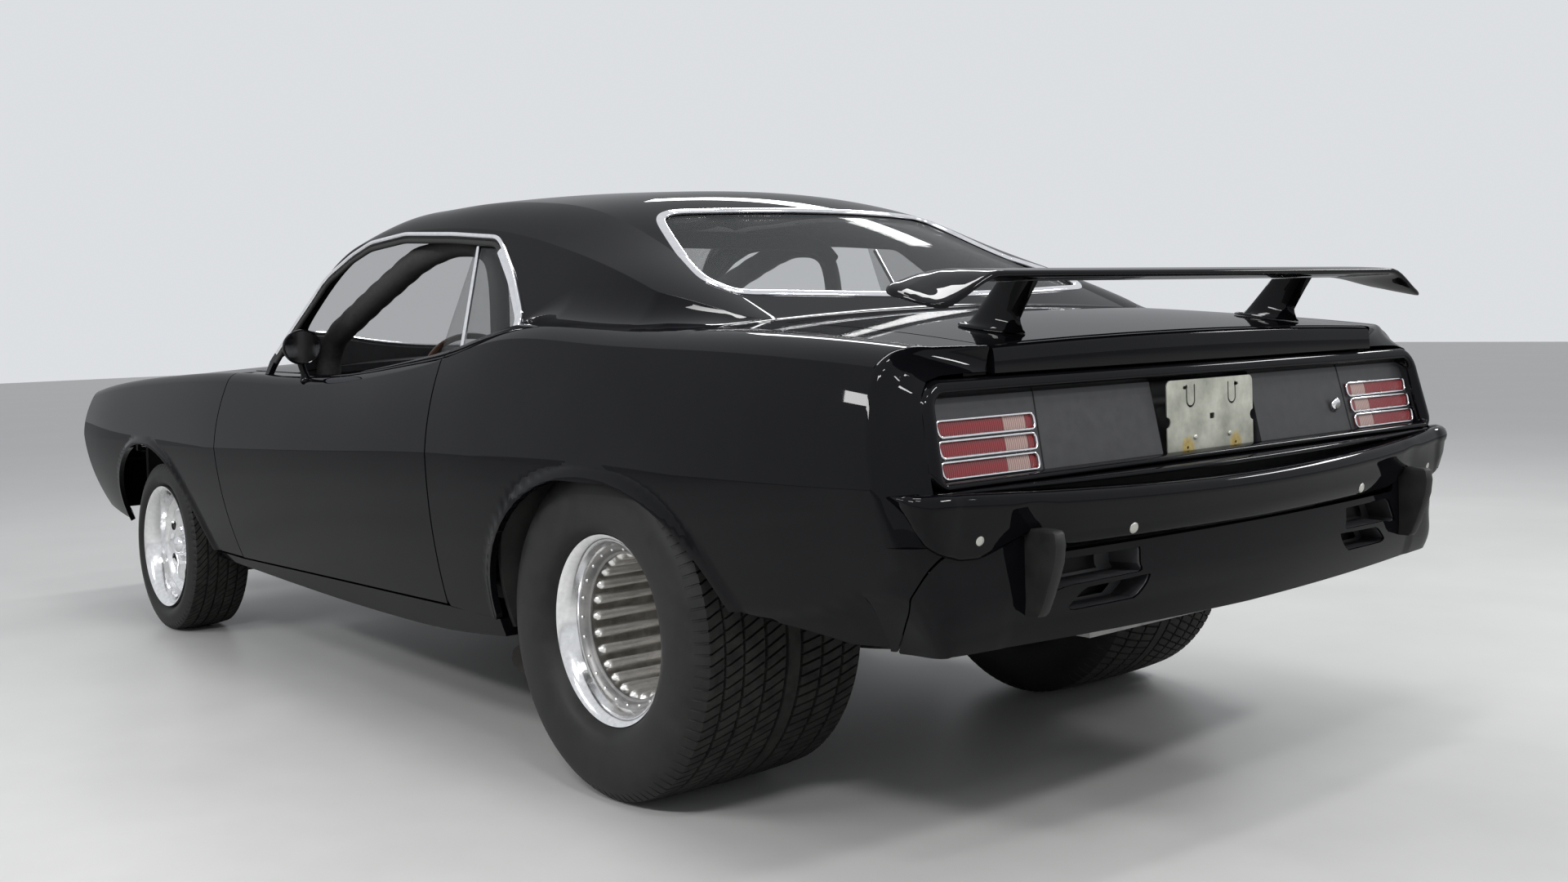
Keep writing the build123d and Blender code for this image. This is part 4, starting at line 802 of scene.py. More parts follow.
# Finishes: each a material with its slot
GLOSS = (BLACK, "gloss_paint")
MATT = (SATIN, "satin_paint")
BRIGHT = (CHROME, "bright_trim")
RIM = (POLISHED, "polished_rim")
TRIM = (VINYL, "black_vinyl")
MOULDED = (PLASTIC, "black_plastic")
SEAL = (RUBBER, "tyre_rubber")
BARE = (STEEL, "bare_steel")
COATED = (ZINC, "zinc_steel")
PANE = (GLASS, "clear_glass")
PADDING = (FOAM, "black_vinyl")
DARK = (SATIN, "black_plastic")
CAD_MATERIALS = {
    "gloss_paint": BLACK, "satin_paint": SATIN, "under_paint": UNDER, "polished_rim": POLISHED,
    "tyre_rubber": RUBBER, "clear_glass": GLASS, "bright_trim": CHROME, "zinc_steel": ZINC,
    "black_vinyl": VINYL, "black_plastic": PLASTIC, "cast_metal": CAST, "bare_steel": STEEL,
    "exhaust_steel": PIPE,
}


def rusted():
    """Galvanised sheet with yellow rust round its lower screws."""
    m, s, t = base_material("stained_zinc", (0.5, 0.5, 0.45), 0.45, 0.6)
    n = noise(t, 16.0, 6.0)
    place = t.nodes.new("ShaderNodeTexCoord")
    spots = None
    for y in (-0.084, 0.084):
        gap = t.nodes.new("ShaderNodeVectorMath")
        gap.operation = "DISTANCE"
        gap.inputs[1].default_value = (-2.221, y, 0.752)
        t.links.new(place.outputs["Object"], gap.inputs[0])
        if spots is None:
            spots = gap.outputs["Value"]
        else:
            least = t.nodes.new("ShaderNodeMath")
            least.operation = "MINIMUM"
            t.links.new(spots, least.inputs[0])
            t.links.new(gap.outputs["Value"], least.inputs[1])
            spots = least.outputs[0]
    rough = noise(t, 90.0, 6.0, 0.7)
    wide = t.nodes.new("ShaderNodeMath")
    wide.operation = "MULTIPLY_ADD"
    wide.inputs[1].default_value = -0.028
    t.links.new(rough.outputs["Fac"], wide.inputs[0])
    t.links.new(spots, wide.inputs[2])
    stain = t.nodes.new("ShaderNodeMapRange")
    stain.inputs["From Min"].default_value = 0.012
    stain.inputs["From Max"].default_value = 0.0
    t.links.new(wide.outputs[0], stain.inputs["Value"])
    mix = t.nodes.new("ShaderNodeMix")
    mix.data_type = "RGBA"
    t.links.new(stain.outputs["Result"], mix.inputs["Factor"])
    zinc = ramp(t, n.outputs["Fac"], (0.30, 0.31, 0.26), (0.62, 0.62, 0.54))
    rust = ramp(t, rough.outputs["Fac"], (0.42, 0.27, 0.07), (0.62, 0.52, 0.22))
    for source, name in ((zinc, "A"), (rust, "B")):
        t.links.new(source, next(k for k in mix.inputs if k.type == "RGBA" and k.name == name))
    out = [socket for socket in mix.outputs if socket.type == "RGBA"][0]
    t.links.new(out, s.inputs["Base Color"])
    t.links.new(spread(t, rough.outputs["Fac"], 0.35, 0.6), s.inputs["Roughness"])
    bump(t, rough.outputs["Fac"], s, 0.3, 0.0006)
    return m


RUSTED = rusted()


def lens(name, low, high):
    """A ribbed lamp lens."""
    m, s, t = base_material(name, low, 0.12, 0.0, 0.25)
    place = t.nodes.new("ShaderNodeTexCoord")
    wave = t.nodes.new("ShaderNodeTexWave")
    wave.bands_direction = "Y"
    wave.inputs["Scale"].default_value = 60
    t.links.new(place.outputs["Object"], wave.inputs["Vector"])
    t.links.new(ramp(t, wave.outputs["Fac"], low, high, (0.2, 0.9)), s.inputs["Base Color"])
    bump(t, wave.outputs["Fac"], s, 0.4, 0.001)
    return m


RED_LENS = lens("red_lens", (0.10, 0.003, 0.005), (0.26, 0.008, 0.012))
CLEAR_LENS = lens("clear_lens", (0.26, 0.15, 0.13), (0.42, 0.30, 0.27))
LENS_PARTS = [
    ("outer", 0.32, 1.0, RED_LENS), ("pale", 0.075, 0.315, CLEAR_LENS), ("inner", 0.0, 0.07, RED_LENS),
]
CAD_MATERIALS["lamp_lens"] = RED_LENS

for row in frame["record"]["subparts"]:
    node = nodes[row["node"]]
    node.data.materials.clear()
    node.data.materials.append(CAD_MATERIALS[row["material_slot"]])


# Painted shell: quarters, sail panels, roof and the deck behind the rear window


def tail_x(z):
    """The tail's lean."""
    (high_z, high_x), (low_z, low_x) = TAIL_LINE
    return high_x + (high_z - z) / (high_z - low_z) * (low_x - high_x)


def fin_x(y, z):
    """Where the quarter's skin ends at its fin: by height on the side, by width on the deck."""
    low = np.interp(z, *zip(*FIN_SIDE))
    return np.where(y > FIN_DECK[1][0], low, np.interp(y, *zip(*FIN_DECK)))


def nose_x(z):
    """The nose's outline seen from the side."""
    return np.interp(z, [p[0] for p in NOSE_LINE], [p[1] for p in NOSE_LINE])


def tuck(x, z):
    """How far the quarter's foot turns in below its low styling line."""
    line = np.interp(x, *zip(*TUCK_LINE))
    fade = np.clip((-1690 - x) / 80, 0, 1)
    return TUCK * fade * (1 - np.exp(-np.clip(line - z, 0, 400) / 26))


def make_shell():
    """One sheet over both quarters, the sail panels and the roof, open at windows, arches and lid."""
    xs = np.concatenate([np.arange(-2262, -600, 13.0), np.arange(-600, 600, 15.0), [598.0]])
    rows = shell_rows(xs)
    grid = full_grid(xs, rows)
    x, y, z = places(grid)
    low_count = SHELL_LOW[0] + SHELL_LOW[1] - 2 + SHELL_LOW[2] + SHELL_BLEND // 2
    columns = grid.shape[1]
    column = np.arange(columns)[None, :] + 0 * x
    is_low = (column < low_count) | (column > columns - 1 - low_count)
    grid = raise_lip(grid, REAR_ARCH)
    grid[:, :, 1] -= np.sign(grid[:, :, 1]) * np.where(x < TAIL_BEND_X, tuck(x, z), 0)
    field = np.where(z < FIN_FOOT_Z - 12, CORNER_X, fin_x(y, z)) - x
    field = cut_away(field, x < QUARTER_FOOT_X, np.interp(x, *zip(*QUARTER_FOOT)) - z)
    field = cut_away(field, is_low, x - (DOOR_REAR_X - GAP / 2))
    field = cut_away(field, z < TOP_Z, -ellipse_distance(REAR_ARCH, x, z))
    field = cut_away(field, is_low & (x > ROCKER_REAR_X), ROCKER_FOOT_Z - z)
    window = polygon_distance(side_outline, x, z)
    field = cut_away(field, ~is_low & (y > SIDE_OPENING_Y), -window)
    for outline in (windshield_outline, backlight_outline):
        field = cut_away(field, z > ROOF_Z, -polygon_distance(outline, x, grid[:, :, 1]))
    lid = np.maximum(x - (LID_FRONT_X + GAP / 2), y - (LID_Y + GAP / 2))
    field = cut_away(field, z > TOP_Z, -lid)
    header = polygon_distance(header_outline(), x, grid[:, :, 1])
    field = np.maximum(field, header)
    field = np.clip(field, -CLIP, CLIP)
    clipped_piece("painted_shell", grid, field, SKIN, "body", GLOSS)


def header_outline():
    """The roof's outline in plan, bowed at the foot of the windshield."""
    front = [(598 + 268 * (1 - (y / 880) ** 2), y) for y in np.linspace(-880, 880, 25)]
    return front + [(598, 960), (-2300, 960), (-2300, -960), (598, -960)]


def clipped_piece(name, points, field, thickness, body, finish):
    """A sheet from the part of a grid where field is negative."""
    verts, norms, faces = clip_grid(points, grid_normals(points), field)
    return sheet_mesh(name, verts, norms, faces, thickness, body, finish)


def side_sheets(name, points, field, thickness, body, finish):
    """A sheet on the left side and its mirror image on the right."""
    verts, norms, faces = clip_grid(points, grid_normals(points), field)
    return [sheet_mesh(f"{name}_{side}", verts * [1, flip, 1], norms * [1, flip, 1], faces, thickness, body,
                       finish, flip < 0) for side, flip in SIDES]


def faced_sheet(name, points, field, facing, thickness, body, finish):
    """A sheet from the part of a grid where field is negative, its outer side turned to a direction."""
    normals = grid_normals(points)
    turned_over = float((normals @ np.array(facing, float)).sum()) < 0
    verts, norms, faces = clip_grid(points, -normals if turned_over else normals, field)
    if turned_over:
        faces = [f[::-1] for f in faces]
    return sheet_mesh(name, verts, norms, faces, thickness, body, finish)


def hood_y(x):
    """The hood's half width at a place along the car."""
    return np.interp(x, [HOOD_REAR_X, HOOD_FRONT_X], [HOOD_REAR_Y, HOOD_FRONT_Y])


def make_panels():
    """Fenders, doors, hood and trunk lid as smooth sheets."""
    xs = np.arange(DOOR_FRONT_X + GAP / 2, 2352, 14.0)
    grid = half_grid(xs, body_rows(xs))
    x, y, z = places(grid)
    grid = raise_lip(grid, FRONT_ARCH)
    field = x - (nose_x(z) - 14)
    field = np.maximum(field, FENDER_FOOT_Z - z)
    field = cut_away(field, z < TOP_Z, -ellipse_distance(FRONT_ARCH, x, z))
    field = cut_away(field, z > TOP_Z, hood_y(x) + GAP / 2 - y)
    near_cowl = (z > TOP_Z) & (x < HOOD_REAR_X + 20)
    field = cut_away(field, near_cowl, np.minimum(COWL_Y - y, HOOD_REAR_X - GAP / 2 - x))
    field = cut_away(field, x > NOSE_REAR_X, NOSE_Y - y)
    fenders = side_sheets("fender_skin", grid, np.clip(field, -15, 15), SKIN, "body", GLOSS)
    for obj, side in zip(fenders, ("left", "right")):
        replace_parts(obj, f"fender_{side}")

    xs = np.linspace(DOOR_REAR_X + GAP / 2, DOOR_FRONT_X - GAP / 2, 130)
    grid = half_grid(xs, body_rows(xs))
    x, y, z = grid[:, :, 0], grid[:, :, 1], grid[:, :, 2]
    share = (DOOR_FRONT_X - x) / (DOOR_FRONT_X - DOOR_REAR_X)
    field = np.maximum(DOOR_FOOT[0] + share * (DOOR_FOOT[1] - DOOR_FOOT[0]) - z, DOOR_INNER_Y - y)
    doors(grid, np.clip(field, -15, 15))

    xs = np.arange(HOOD_REAR_X + GAP / 2, HOOD_FRONT_X - 2, 16.0)
    rows = body_rows(xs)
    grid = full_grid(xs, rows)
    x, y, z = places(grid)
    field = np.where(z > TOP_Z, y - (hood_y(x) - GAP / 2), 15)
    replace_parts(clipped_piece("hood_skin", grid, np.clip(field, -15, 15), SKIN, "hood", GLOSS), "hood")

    xs = np.arange(LID_FRONT_X - GAP / 2, -2262, -11.0)[::-1]
    grid = full_grid(xs, body_rows(xs))
    x, y, z = places(grid)
    field = np.where(z > 800, y - (LID_Y - GAP / 2), 15)
    field = np.maximum(field, tail_x(z) + 10 - x)
    clipped_piece("lid_skin", grid, np.clip(field, -15, 15), SKIN, "trunk_lid", GLOSS)


def doors(grid, field):
    """Doors as closed forms: a smooth skin, edges that run to the flat inner face, and that face."""
    verts, norms, faces = clip_grid(grid, grid_normals(grid), field)
    norms = norms / np.linalg.norm(norms, axis=1)[:, None]
    for side, flip in SIDES:
        v = verts * np.array([1, flip, 1])
        n = norms * np.array([1, flip, 1])
        f = [list(face) if flip > 0 else list(face)[::-1] for face in faces]
        edges = {(a, b) for face in f for a, b in zip(face, face[1:] + face[:1])}
        open_edges = [(a, b) for a, b in edges if (b, a) not in edges]
        ring = sorted({k for e in open_edges for k in e})
        inner = {k: len(v) + i for i, k in enumerate(ring)}
        flat = np.array([(v[k][0], flip * DOOR_INNER_Y, v[k][2]) for k in ring])
        both = np.concatenate([v, flat])
        rim = [[b, a, inner[a], inner[b]] for a, b in open_edges]
        follow = {inner[b]: inner[a] for a, b in open_edges}
        start = next(iter(follow))
        cap = [start]
        while follow[cap[-1]] != start:
            cap.append(follow[cap[-1]])
        whole = f + rim + [cap]
        data = bpy.data.meshes.new(f"door_skin_{side}")
        data.from_pydata((both * MM).tolist(), [], whole)
        loops = [n[k] for face in f for k in face]
        for face in rim:
            a, b, c, d = (both[k] for k in face)
            m = np.cross(c - a, d - b)
            size = np.linalg.norm(m)
            loops.extend([m / size if size > 1e-9 else np.array([1.0, 0, 0])] * 4)
        loops.extend([np.array([0, -flip, 0])] * len(cap))
        for p in data.polygons:
            p.use_smooth = True
        data.normals_split_custom_set([tuple(map(float, k)) for k in loops])
        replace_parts(finished(f"door_skin_{side}", data, f"door_{side}", GLOSS), f"door_{side}")


make_panels()
make_shell()
for node in ("roof", "quarter_left", "quarter_right"):
    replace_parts(bpy.data.objects["painted_shell"], node)
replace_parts(bpy.data.objects["lid_skin"], "trunk_lid")


# Shared builders


def grid_faces(rows, columns, close_rows=False, close_columns=False):
    """Quads of a grid, wrapped round in either direction where asked."""
    faces = []
    for i in range(rows if close_rows else rows - 1):
        for j in range(columns if close_columns else columns - 1):
            a = i * columns + j
            b = i * columns + (j + 1) % columns
            c = ((i + 1) % rows) * columns + (j + 1) % columns
            d = ((i + 1) % rows) * columns + j
            faces.append([a, d, c, b])
    return faces


def grid_piece(name, points, body, finish, close_rows=False, close_columns=False, caps=False, flip=False,
               sharp=40):
    """A smooth piece from a grid of points."""
    rows, columns = points.shape[:2]
    faces = grid_faces(rows, columns, close_rows, close_columns)
    if caps:
        faces.append(list(range(columns)))
        faces.append([(rows - 1) * columns + j for j in range(columns)][::-1])
    if flip:
        faces = [f[::-1] for f in faces]
    return mesh_piece(name, points.reshape(-1, 3), faces, body, finish, sharp)


def closed_form(name, rows, body, finish, flip=False, sharp=40):
    """A closed piece from rings of points in a row, capped at both ends."""
    return grid_piece(name, np.array(rows), body, finish, False, True, caps=True, flip=flip, sharp=sharp)


def turned(name, profile, x, z, body, finish, steps, sharp=35):
    """A piece turned about a crosswise line, from (place across, radius) points."""
    profile = np.array(profile, float)
    angle = round_angles(steps)[:, None]
    y = profile[None, :, 0] + 0 * angle
    r = profile[None, :, 1] + 0 * angle
    points = np.stack([x + r * np.cos(angle), y, z + r * np.sin(angle)], 2)
    return grid_piece(name, points, body, finish, True, True, sharp=sharp, flip=True)


def sweep(name, path, normals, profile, body, finish, closed=False, sharp=50, scale=None):
    """A moulding along a path, out along its normals or one direction; profile points are (across, out)."""
    path = np.asarray(path, float)
    normals = np.broadcast_to(np.asarray(normals, float), path.shape)
    if closed:
        tangent = np.roll(path, -1, 0) - np.roll(path, 1, 0)
    else:
        tangent = np.gradient(path, axis=0)
    tangent /= np.linalg.norm(tangent, axis=1)[:, None]
    side = np.cross(normals, tangent)
    side /= np.linalg.norm(side, axis=1)[:, None]
    out = np.cross(tangent, side)
    scale = np.ones(len(path)) if scale is None else np.asarray(scale)
    profile = np.array(profile, float)
    points = (path[:, None] + side[:, None] * (profile[None, :, :1] * scale[:, None, None])
              + out[:, None] * (profile[None, :, 1:] * scale[:, None, None]))
    return grid_piece(name, points, body, finish, closed, True, caps=not closed, sharp=sharp)


def round_profile(width, height, count=10):
    """A half-round moulding section."""
    a = np.linspace(0, math.pi, count)
    top = [(width / 2 * math.cos(t), height * math.sin(t) ** 0.7) for t in a]
    return top + [(-width / 2, -3), (width / 2, -3)]


def tube_profile(radius, count=10):
    """A round section."""
    a = round_angles(count)
    return [(radius * math.cos(t), radius * math.sin(t)) for t in a]


def roof_half(x):
    """One half section of the roof at a place."""
    return roof_rows(np.array([float(x)]))[0]


def roof_point(x, y):
    """A point on the roof's surface above a place."""
    line = roof_half(x)
    return np.array([x, y, np.interp(-abs(y), -line[:, 0], line[:, 1])])


def roof_side(x, z):
    """A point on the roof's left side at a height."""
    line = roof_half(x)
    return np.array([x, np.interp(z, line[:, 1], line[:, 0]), z])


def surface_normal(make, a, b, step=3.0):
    """A surface's outward normal by small differences."""
    u = make(a + step, b) - make(a - step, b)
    v = make(a, b + step) - make(a, b - step)
    n = np.cross(u, v)
    n /= np.linalg.norm(n)
    return -n if n[1] * make(a, b)[1] + n[2] * 300 < 0 else n


# Glass with its bright mouldings


def make_glass():
    """Windshield, rear window and quarter windows, each a thin bowed pane."""
    for name, outline, x0, x1 in (
        ("backlight", backlight_outline, -1500, -910), ("windshield", windshield_outline, 160, 832),
    ):
        xs = np.arange(x0, x1, 18.0)
        rows = np.stack([roof_half(x) for x in xs])
        grid = full_grid(xs, rows)
        normals = grid_normals(grid)
        grid = grid - normals * 5
        field = polygon_distance(outline, grid[:, :, 0], grid[:, :, 1]) - 4
        field = np.where(grid[:, :, 2] > 880, field, 12)
        pane = clipped_piece(f"{name}_pane", grid, np.clip(field, -CLIP, CLIP), 6, "body", PANE)
        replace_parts(pane, name)
        path = [roof_point(x, y) for x, y in outline]
        normals = [surface_normal(roof_point, x, y) for x, y in outline]
        width = 24 if name == "backlight" else 17
        sweep(f"{name}_moulding", path, normals, round_profile(width, 6), "body", BRIGHT, True)
    xs = np.arange(-806, -450, 8.0)
    rows = np.stack([roof_half(x) for x in xs])
    grid = half_grid(xs, rows)
    grid = grid - grid_normals(grid) * 10
    x, z = grid[:, :, 0], grid[:, :, 2]
    field = np.maximum(polygon_distance(side_outline, x, z) - 4, -452 - x + 2 * (x + 452))
    field = np.maximum(field, 940 - z)
    for pane in side_sheets("quarter_pane", grid, np.clip(field, -CLIP, CLIP), 6, "body", PANE):
        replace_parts(pane, "quarter_glass")


def side_run(first, last, inset):
    """Points of the side opening's edge between two heights' ends, drawn inwards, with outward normals."""
    line = side_outline
    d = np.roll(line, -1, 0) - np.roll(line, 1, 0)
    normal = np.stack([-d[:, 1], d[:, 0]], 1) / np.hypot(d[:, 0], d[:, 1])[:, None]
    middle = line.mean(0)
    normal *= np.where(((middle - line) * normal).sum(1) > 0, 1, -1)[:, None]
    moved = line + normal * inset
    keep = moved[:, 1] > first
    order = np.argsort(np.unwrap(np.arctan2(moved[:, 1] - 1010, moved[:, 0] + 110)))
    moved = np.array([moved[i] for i in order if keep[i]])
    moved = moved[(moved[:, 1] > first) & (moved[:, 1] < 2000)]
    if last:
        moved = moved[moved[:, 0] < last]
    return moved


def make_cowl():
    """The painted panel between windshield and hood, and the black strip at the windshield's foot."""
    xs = np.arange(540, 878.5, 7.0)
    grid = full_grid(xs, body_rows(xs))
    grid[:, :, 2] += 1.5
    x, y, z = grid[:, :, 0], grid[:, :, 1], grid[:, :, 2]
    field = np.where(z > TOP_Z, np.maximum(np.abs(y) - 775, x - 877), 12.0)
    field = np.maximum(field, -polygon_distance(windshield_outline, x, y))
    clipped_piece("cowl_cover", grid, np.clip(field, -CLIP, CLIP), 3, "body", GLOSS)
    order = np.argsort(windshield_outline[:, 1])
    foot = np.array([windshield_outline[k] for k in order if windshield_outline[k][0] > 552])
    rows = []
    for x, y in foot:
        z = roof_point(x, y)[2]
        low = deck_z(x, y) - 30
        rows.append([(x - 10, y, z - 9), (x - 1, y, z - 1), (x + 9, y, z - 3), (x + 13, y, z - 9),
                     (x + 16, y, low), (x + 4, y, low), (x - 8, y, z - 18)])
    closed_form("cowl_strip", rows, "body", MATT, sharp=50)


def make_side_trim():
    """The drip rail and bright edge round the side opening, its black seal and the window's front strip."""
    for side, flip in SIDES:
        for name, inset, lift, profile, low, last, finish in (
            ("rail_moulding", -9, 1, round_profile(13, 7), 955, None, BRIGHT),
            ("pillar_moulding", 6, -1, round_profile(22, 6), 968, -600, BRIGHT),
            ("opening_seal", 7, -3, round_profile(15, 5), 930, None, SEAL),
        ):
            line = side_run(low, last, inset)
            path = np.array([roof_side(x, z) for x, z in line])
            normals = np.array([surface_normal(roof_side, x, z) for x, z in line])
            path = path + normals * lift
            sweep(f"{name}_{side}", path * [1, flip, 1], normals * [1, flip, 1], profile, "body", finish)
        z = np.linspace(958, 1236, 24)
        x = -566 - (z - 958) * -0.33
        path = np.array([roof_side(a, b) for a, b in zip(x, z)]) - [0, 8, 0]
        normals = np.array([surface_normal(roof_side, a, b) for a, b in zip(x, z)])
        mirror = [1, flip, 1]
        sweep(f"quarter_strip_{side}", path * mirror, normals * mirror, round_profile(12, 6), "body",
              BRIGHT)


# Tail


def bezier(points, t):
    """Points on a cubic curve."""
    a, b, c, d = (np.asarray(p, float)[None] for p in points)
    t = np.asarray(t)[:, None]
    return a * (1 - t) ** 3 + 3 * b * t * (1 - t) ** 2 + 3 * c * t ** 2 * (1 - t) + d * t ** 3


def skin_point(x, z):
    """A point on the lower body's left side."""
    row = body_rows(np.array([float(x)]))[0]
    return np.array([x, np.interp(z, row[:52, 1], row[:52, 0]), z])


def deck_point(x, y):
    """A point on the lower body's top, left of the middle."""
    row = body_rows(np.array([float(x)]))[0]
    return np.array([x, y, np.interp(-y, -row[44:, 0], row[44:, 1])])


def make_fin(side, flip):
    """The quarter's end: a rounded edge and a hollow face that runs in to the tail's frame."""
    zs = np.linspace(FIN_FOOT_Z - 6, 965, 34)
    outer = [skin_point(float(fin_x(900, z)), z) for z in zs]
    ys = np.linspace(848, FIN_DECK[0][0], 22)
    outer += [deck_point(float(fin_x(min(y, 825), 980)), y) for y in ys]
    outer = np.array(outer)
    frame = [(847, 634), (847, 745), (840, 860), (832, 900), (815, 922), (780, 930), (720, 932), (655, 932)]
    frame = np.array([(tail_x(z) + 8, y, z) for y, z in frame], float)
    far = run_of(outer)
    inner = along(frame, far / far[-1] * run_of(frame)[-1])
    strips = []
    for p, q in zip(outer, inner):
        back = p + np.array([-9.0, -0.6, -0.4])
        turn = back + (q - back) * 0.12
        early = [p + (back - p) * 2 * s * (1 - s) + (turn - p) * s * s for s in np.linspace(0, 1, 7)]
        hollow = (q - turn) * 0.5 + turn + np.array([12.0, -5.0, 0.0])
        late = [turn * (1 - s) ** 2 + hollow * 2 * s * (1 - s) + q * s * s for s in np.linspace(0.1, 1, 10)]
        strips.append(early + late)
    points = np.array(strips) * [1, flip, 1]
    grid_piece(f"quarter_end_{side}", points, "body", GLOSS, flip=flip < 0, sharp=60)


def make_lid_lip():
    """The lid's rolled rear edge, which turns down to the tail's frame."""
    rows = []
    for y in np.linspace(-646, 646, 101):
        p = deck_point(-2196.0, abs(float(y)))
        z = p[2]
        line = [(-2180, z - 0.4), (-2190, z - 0.8), (-2196, z - 1.6), (-2201, z - 3.6), (-2204.5, z - 7),
                (-2206, z - 12), (-2208, z - 24), (-2209, 929.5), (-2207.5, 927.5), (-2190, 927.5),
                (-2190, z - 16), (-2180, z - 16)]
        rows.append([(x, y, h) for x, h in line])
    closed_form("lid_lip", rows, "trunk_lid", GLOSS, sharp=60)


def make_wing():
    """The deck wing: one blade with drooped, rounded ends on two swept posts with flared feet."""
    section = smooth_outline(np.array(WING_SECTION) * [400, 100], 5, 10.0) / [400, 100]
    rows = []
    ends = WING_HALF - WING_END * (1 - np.cos(np.linspace(0, math.pi / 2, 14)))
    ys = np.concatenate([ends, np.linspace(780, -780, 79), -ends[::-1]])
    for y in ys:
        over = max(0.0, (abs(y) - 672) / 160)
        tip = max(0.0, (abs(y) - WING_HALF + WING_END) / WING_END)
        bend = over * over * (3 - 2 * min(1.0, over))
        share = (1 - 0.26 * over ** 1.5) * max(0.02, 1 - tip ** 3.2) ** 0.3
        centre = WING_NOSE[0] - WING_LENGTH / 2 - 14 * over
        chord = WING_LENGTH * share
        thick = WING_THICK * max(0.03, 1 - tip ** 2.6) ** 0.5
        row = []
        for s, h in section:
            x = centre + chord * (0.5 - s)
            place = (WING_NOSE[0] - x) / WING_LENGTH
            row.append((x, y, WING_NOSE[1] + 3 * s + thick * h - bend * (12 + 48 * place)))
        rows.append(row)
    blade = closed_form("wing_blade", rows, "trunk_lid", GLOSS, sharp=75)
    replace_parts(blade, "wing")
    for side, flip in SIDES:
        make_post(side, flip)


def make_post(side, flip):
    """A swept post under the wing, its flared foot on the deck."""
    rows = []
    for rise, a, b in POST_LEVELS:
        x = POST_X - 73 * max(0.0, rise) / 90
        row = []
        for t in round_angles(40):
            foot = deck_z(x + a * math.cos(t), POST_Y + b * math.sin(t)) + 1.5 + max(0.0, rise + 10) * 0.5
            long = a * math.copysign(abs(math.cos(t)) ** 0.9, math.cos(t))
            high = foot if rise < 6 else POST_FOOT_Z + rise
            row.append((x + long, (POST_Y + b * math.sin(t)) * flip, high))
        rows.append(row)
    closed_form(f"wing_post_{side}", rows, "trunk_lid", GLOSS, flip=flip > 0, sharp=60)


def deck_z(x, y):
    """The deck's height at a place."""
    return float(deck_point(float(x), abs(float(y)))[2])


def frame_outline(inset, count=24):
    """The tail frame's rounded outline in (across, height), drawn inwards."""
    line = []
    for k, (y, z, r) in enumerate(FRAME_CORNERS):
        sy = 1 if y > 0 else -1
        sz = 1 if z > TAIL_MIDDLE_Z else -1
        cy = y - sy * r
        cz = z - sz * r
        for a in np.radians(np.linspace(90 * k, 90 * k + 90, count)):
            direction = np.array([math.cos(a), math.sin(a)])
            low_share = min(1.0, max(0.0, (TAIL_MIDDLE_Z - cz) / 20))
            line.append(np.array([cy, cz - 0.5 * inset * low_share]) + direction * (r - min(inset, r - 4)))
    return np.array(line)


def make_tail():
    """The tail's rounded frame, satin panel with the plate pocket, and the ledge over the bumper."""
    rings = []
    for inset, depth in FRAME_DEPTHS:
        line = frame_outline(inset)
        rings.append(np.stack([tail_x(line[:, 1]) + depth, line[:, 0], line[:, 1]], 1))
    points = np.array(rings).transpose(1, 0, 2)
    ring = grid_piece("tail_frame", points, "body", GLOSS, close_rows=True, sharp=60)
    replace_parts(ring, "tail_panel")
    ys = np.linspace(-812, 812, 120)
    zs = np.linspace(742, 906, 26)
    y, z = np.meshgrid(ys, zs, indexing="ij")
    panel_grid = np.stack([tail_x(z) + 25.5, y, z], 2)
    pocket = np.maximum(np.abs(y) - POCKET_Y, z - POCKET_HIGH)
    faced_sheet("tail_skin", panel_grid, np.clip(-pocket, -CLIP, CLIP), REARWARD, 3, "body", MATT)
    make_pocket()
    make_ledge()


def make_pocket():
    """The plate's pocket in the tail panel, and the panel's two seams."""
    near, deep = 25, 60
    verts = []
    for y in (-POCKET_Y, POCKET_Y):
        verts += [(tail_x(POCKET_LOW) + near, y, POCKET_LOW), (tail_x(POCKET_HIGH) + near, y, POCKET_HIGH),
                  (tail_x(POCKET_HIGH) + deep, y * 0.97, POCKET_HIGH - 3),
                  (tail_x(POCKET_LOW) + deep, y * 0.97, POCKET_LOW)]
    faces = [[0, 3, 2, 1], [4, 5, 6, 7], [1, 2, 6, 5], [3, 7, 6, 2], [0, 4, 7, 3]]
    mesh_piece("plate_pocket", verts, faces, "body", MATT, 30)
    for side, flip in SIDES:
        zs = np.linspace(744, 896, 12)
        path = np.array([(tail_x(z) + 25.2, flip * (SEAM_Y + (820 - z) * 0.06), z) for z in zs])
        sweep(f"panel_seam_{side}", path, [-1.0, 0, -0.2], round_profile(3, 1.2), "body", SEAL)


def make_ledge():
    """The painted ledge over the bumper."""
    rows = []
    for y in np.linspace(-838, 838, 81):
        x = -2246 - 57 * (1 - (y / 846) ** 2) + 6
        z = 730 + 3 * (y / 838) ** 2
        rows.append([(x - out, y, z + up) for up, out in LEDGE_SHAPE])
    closed_form("tail_ledge", rows, "body", GLOSS, sharp=50)


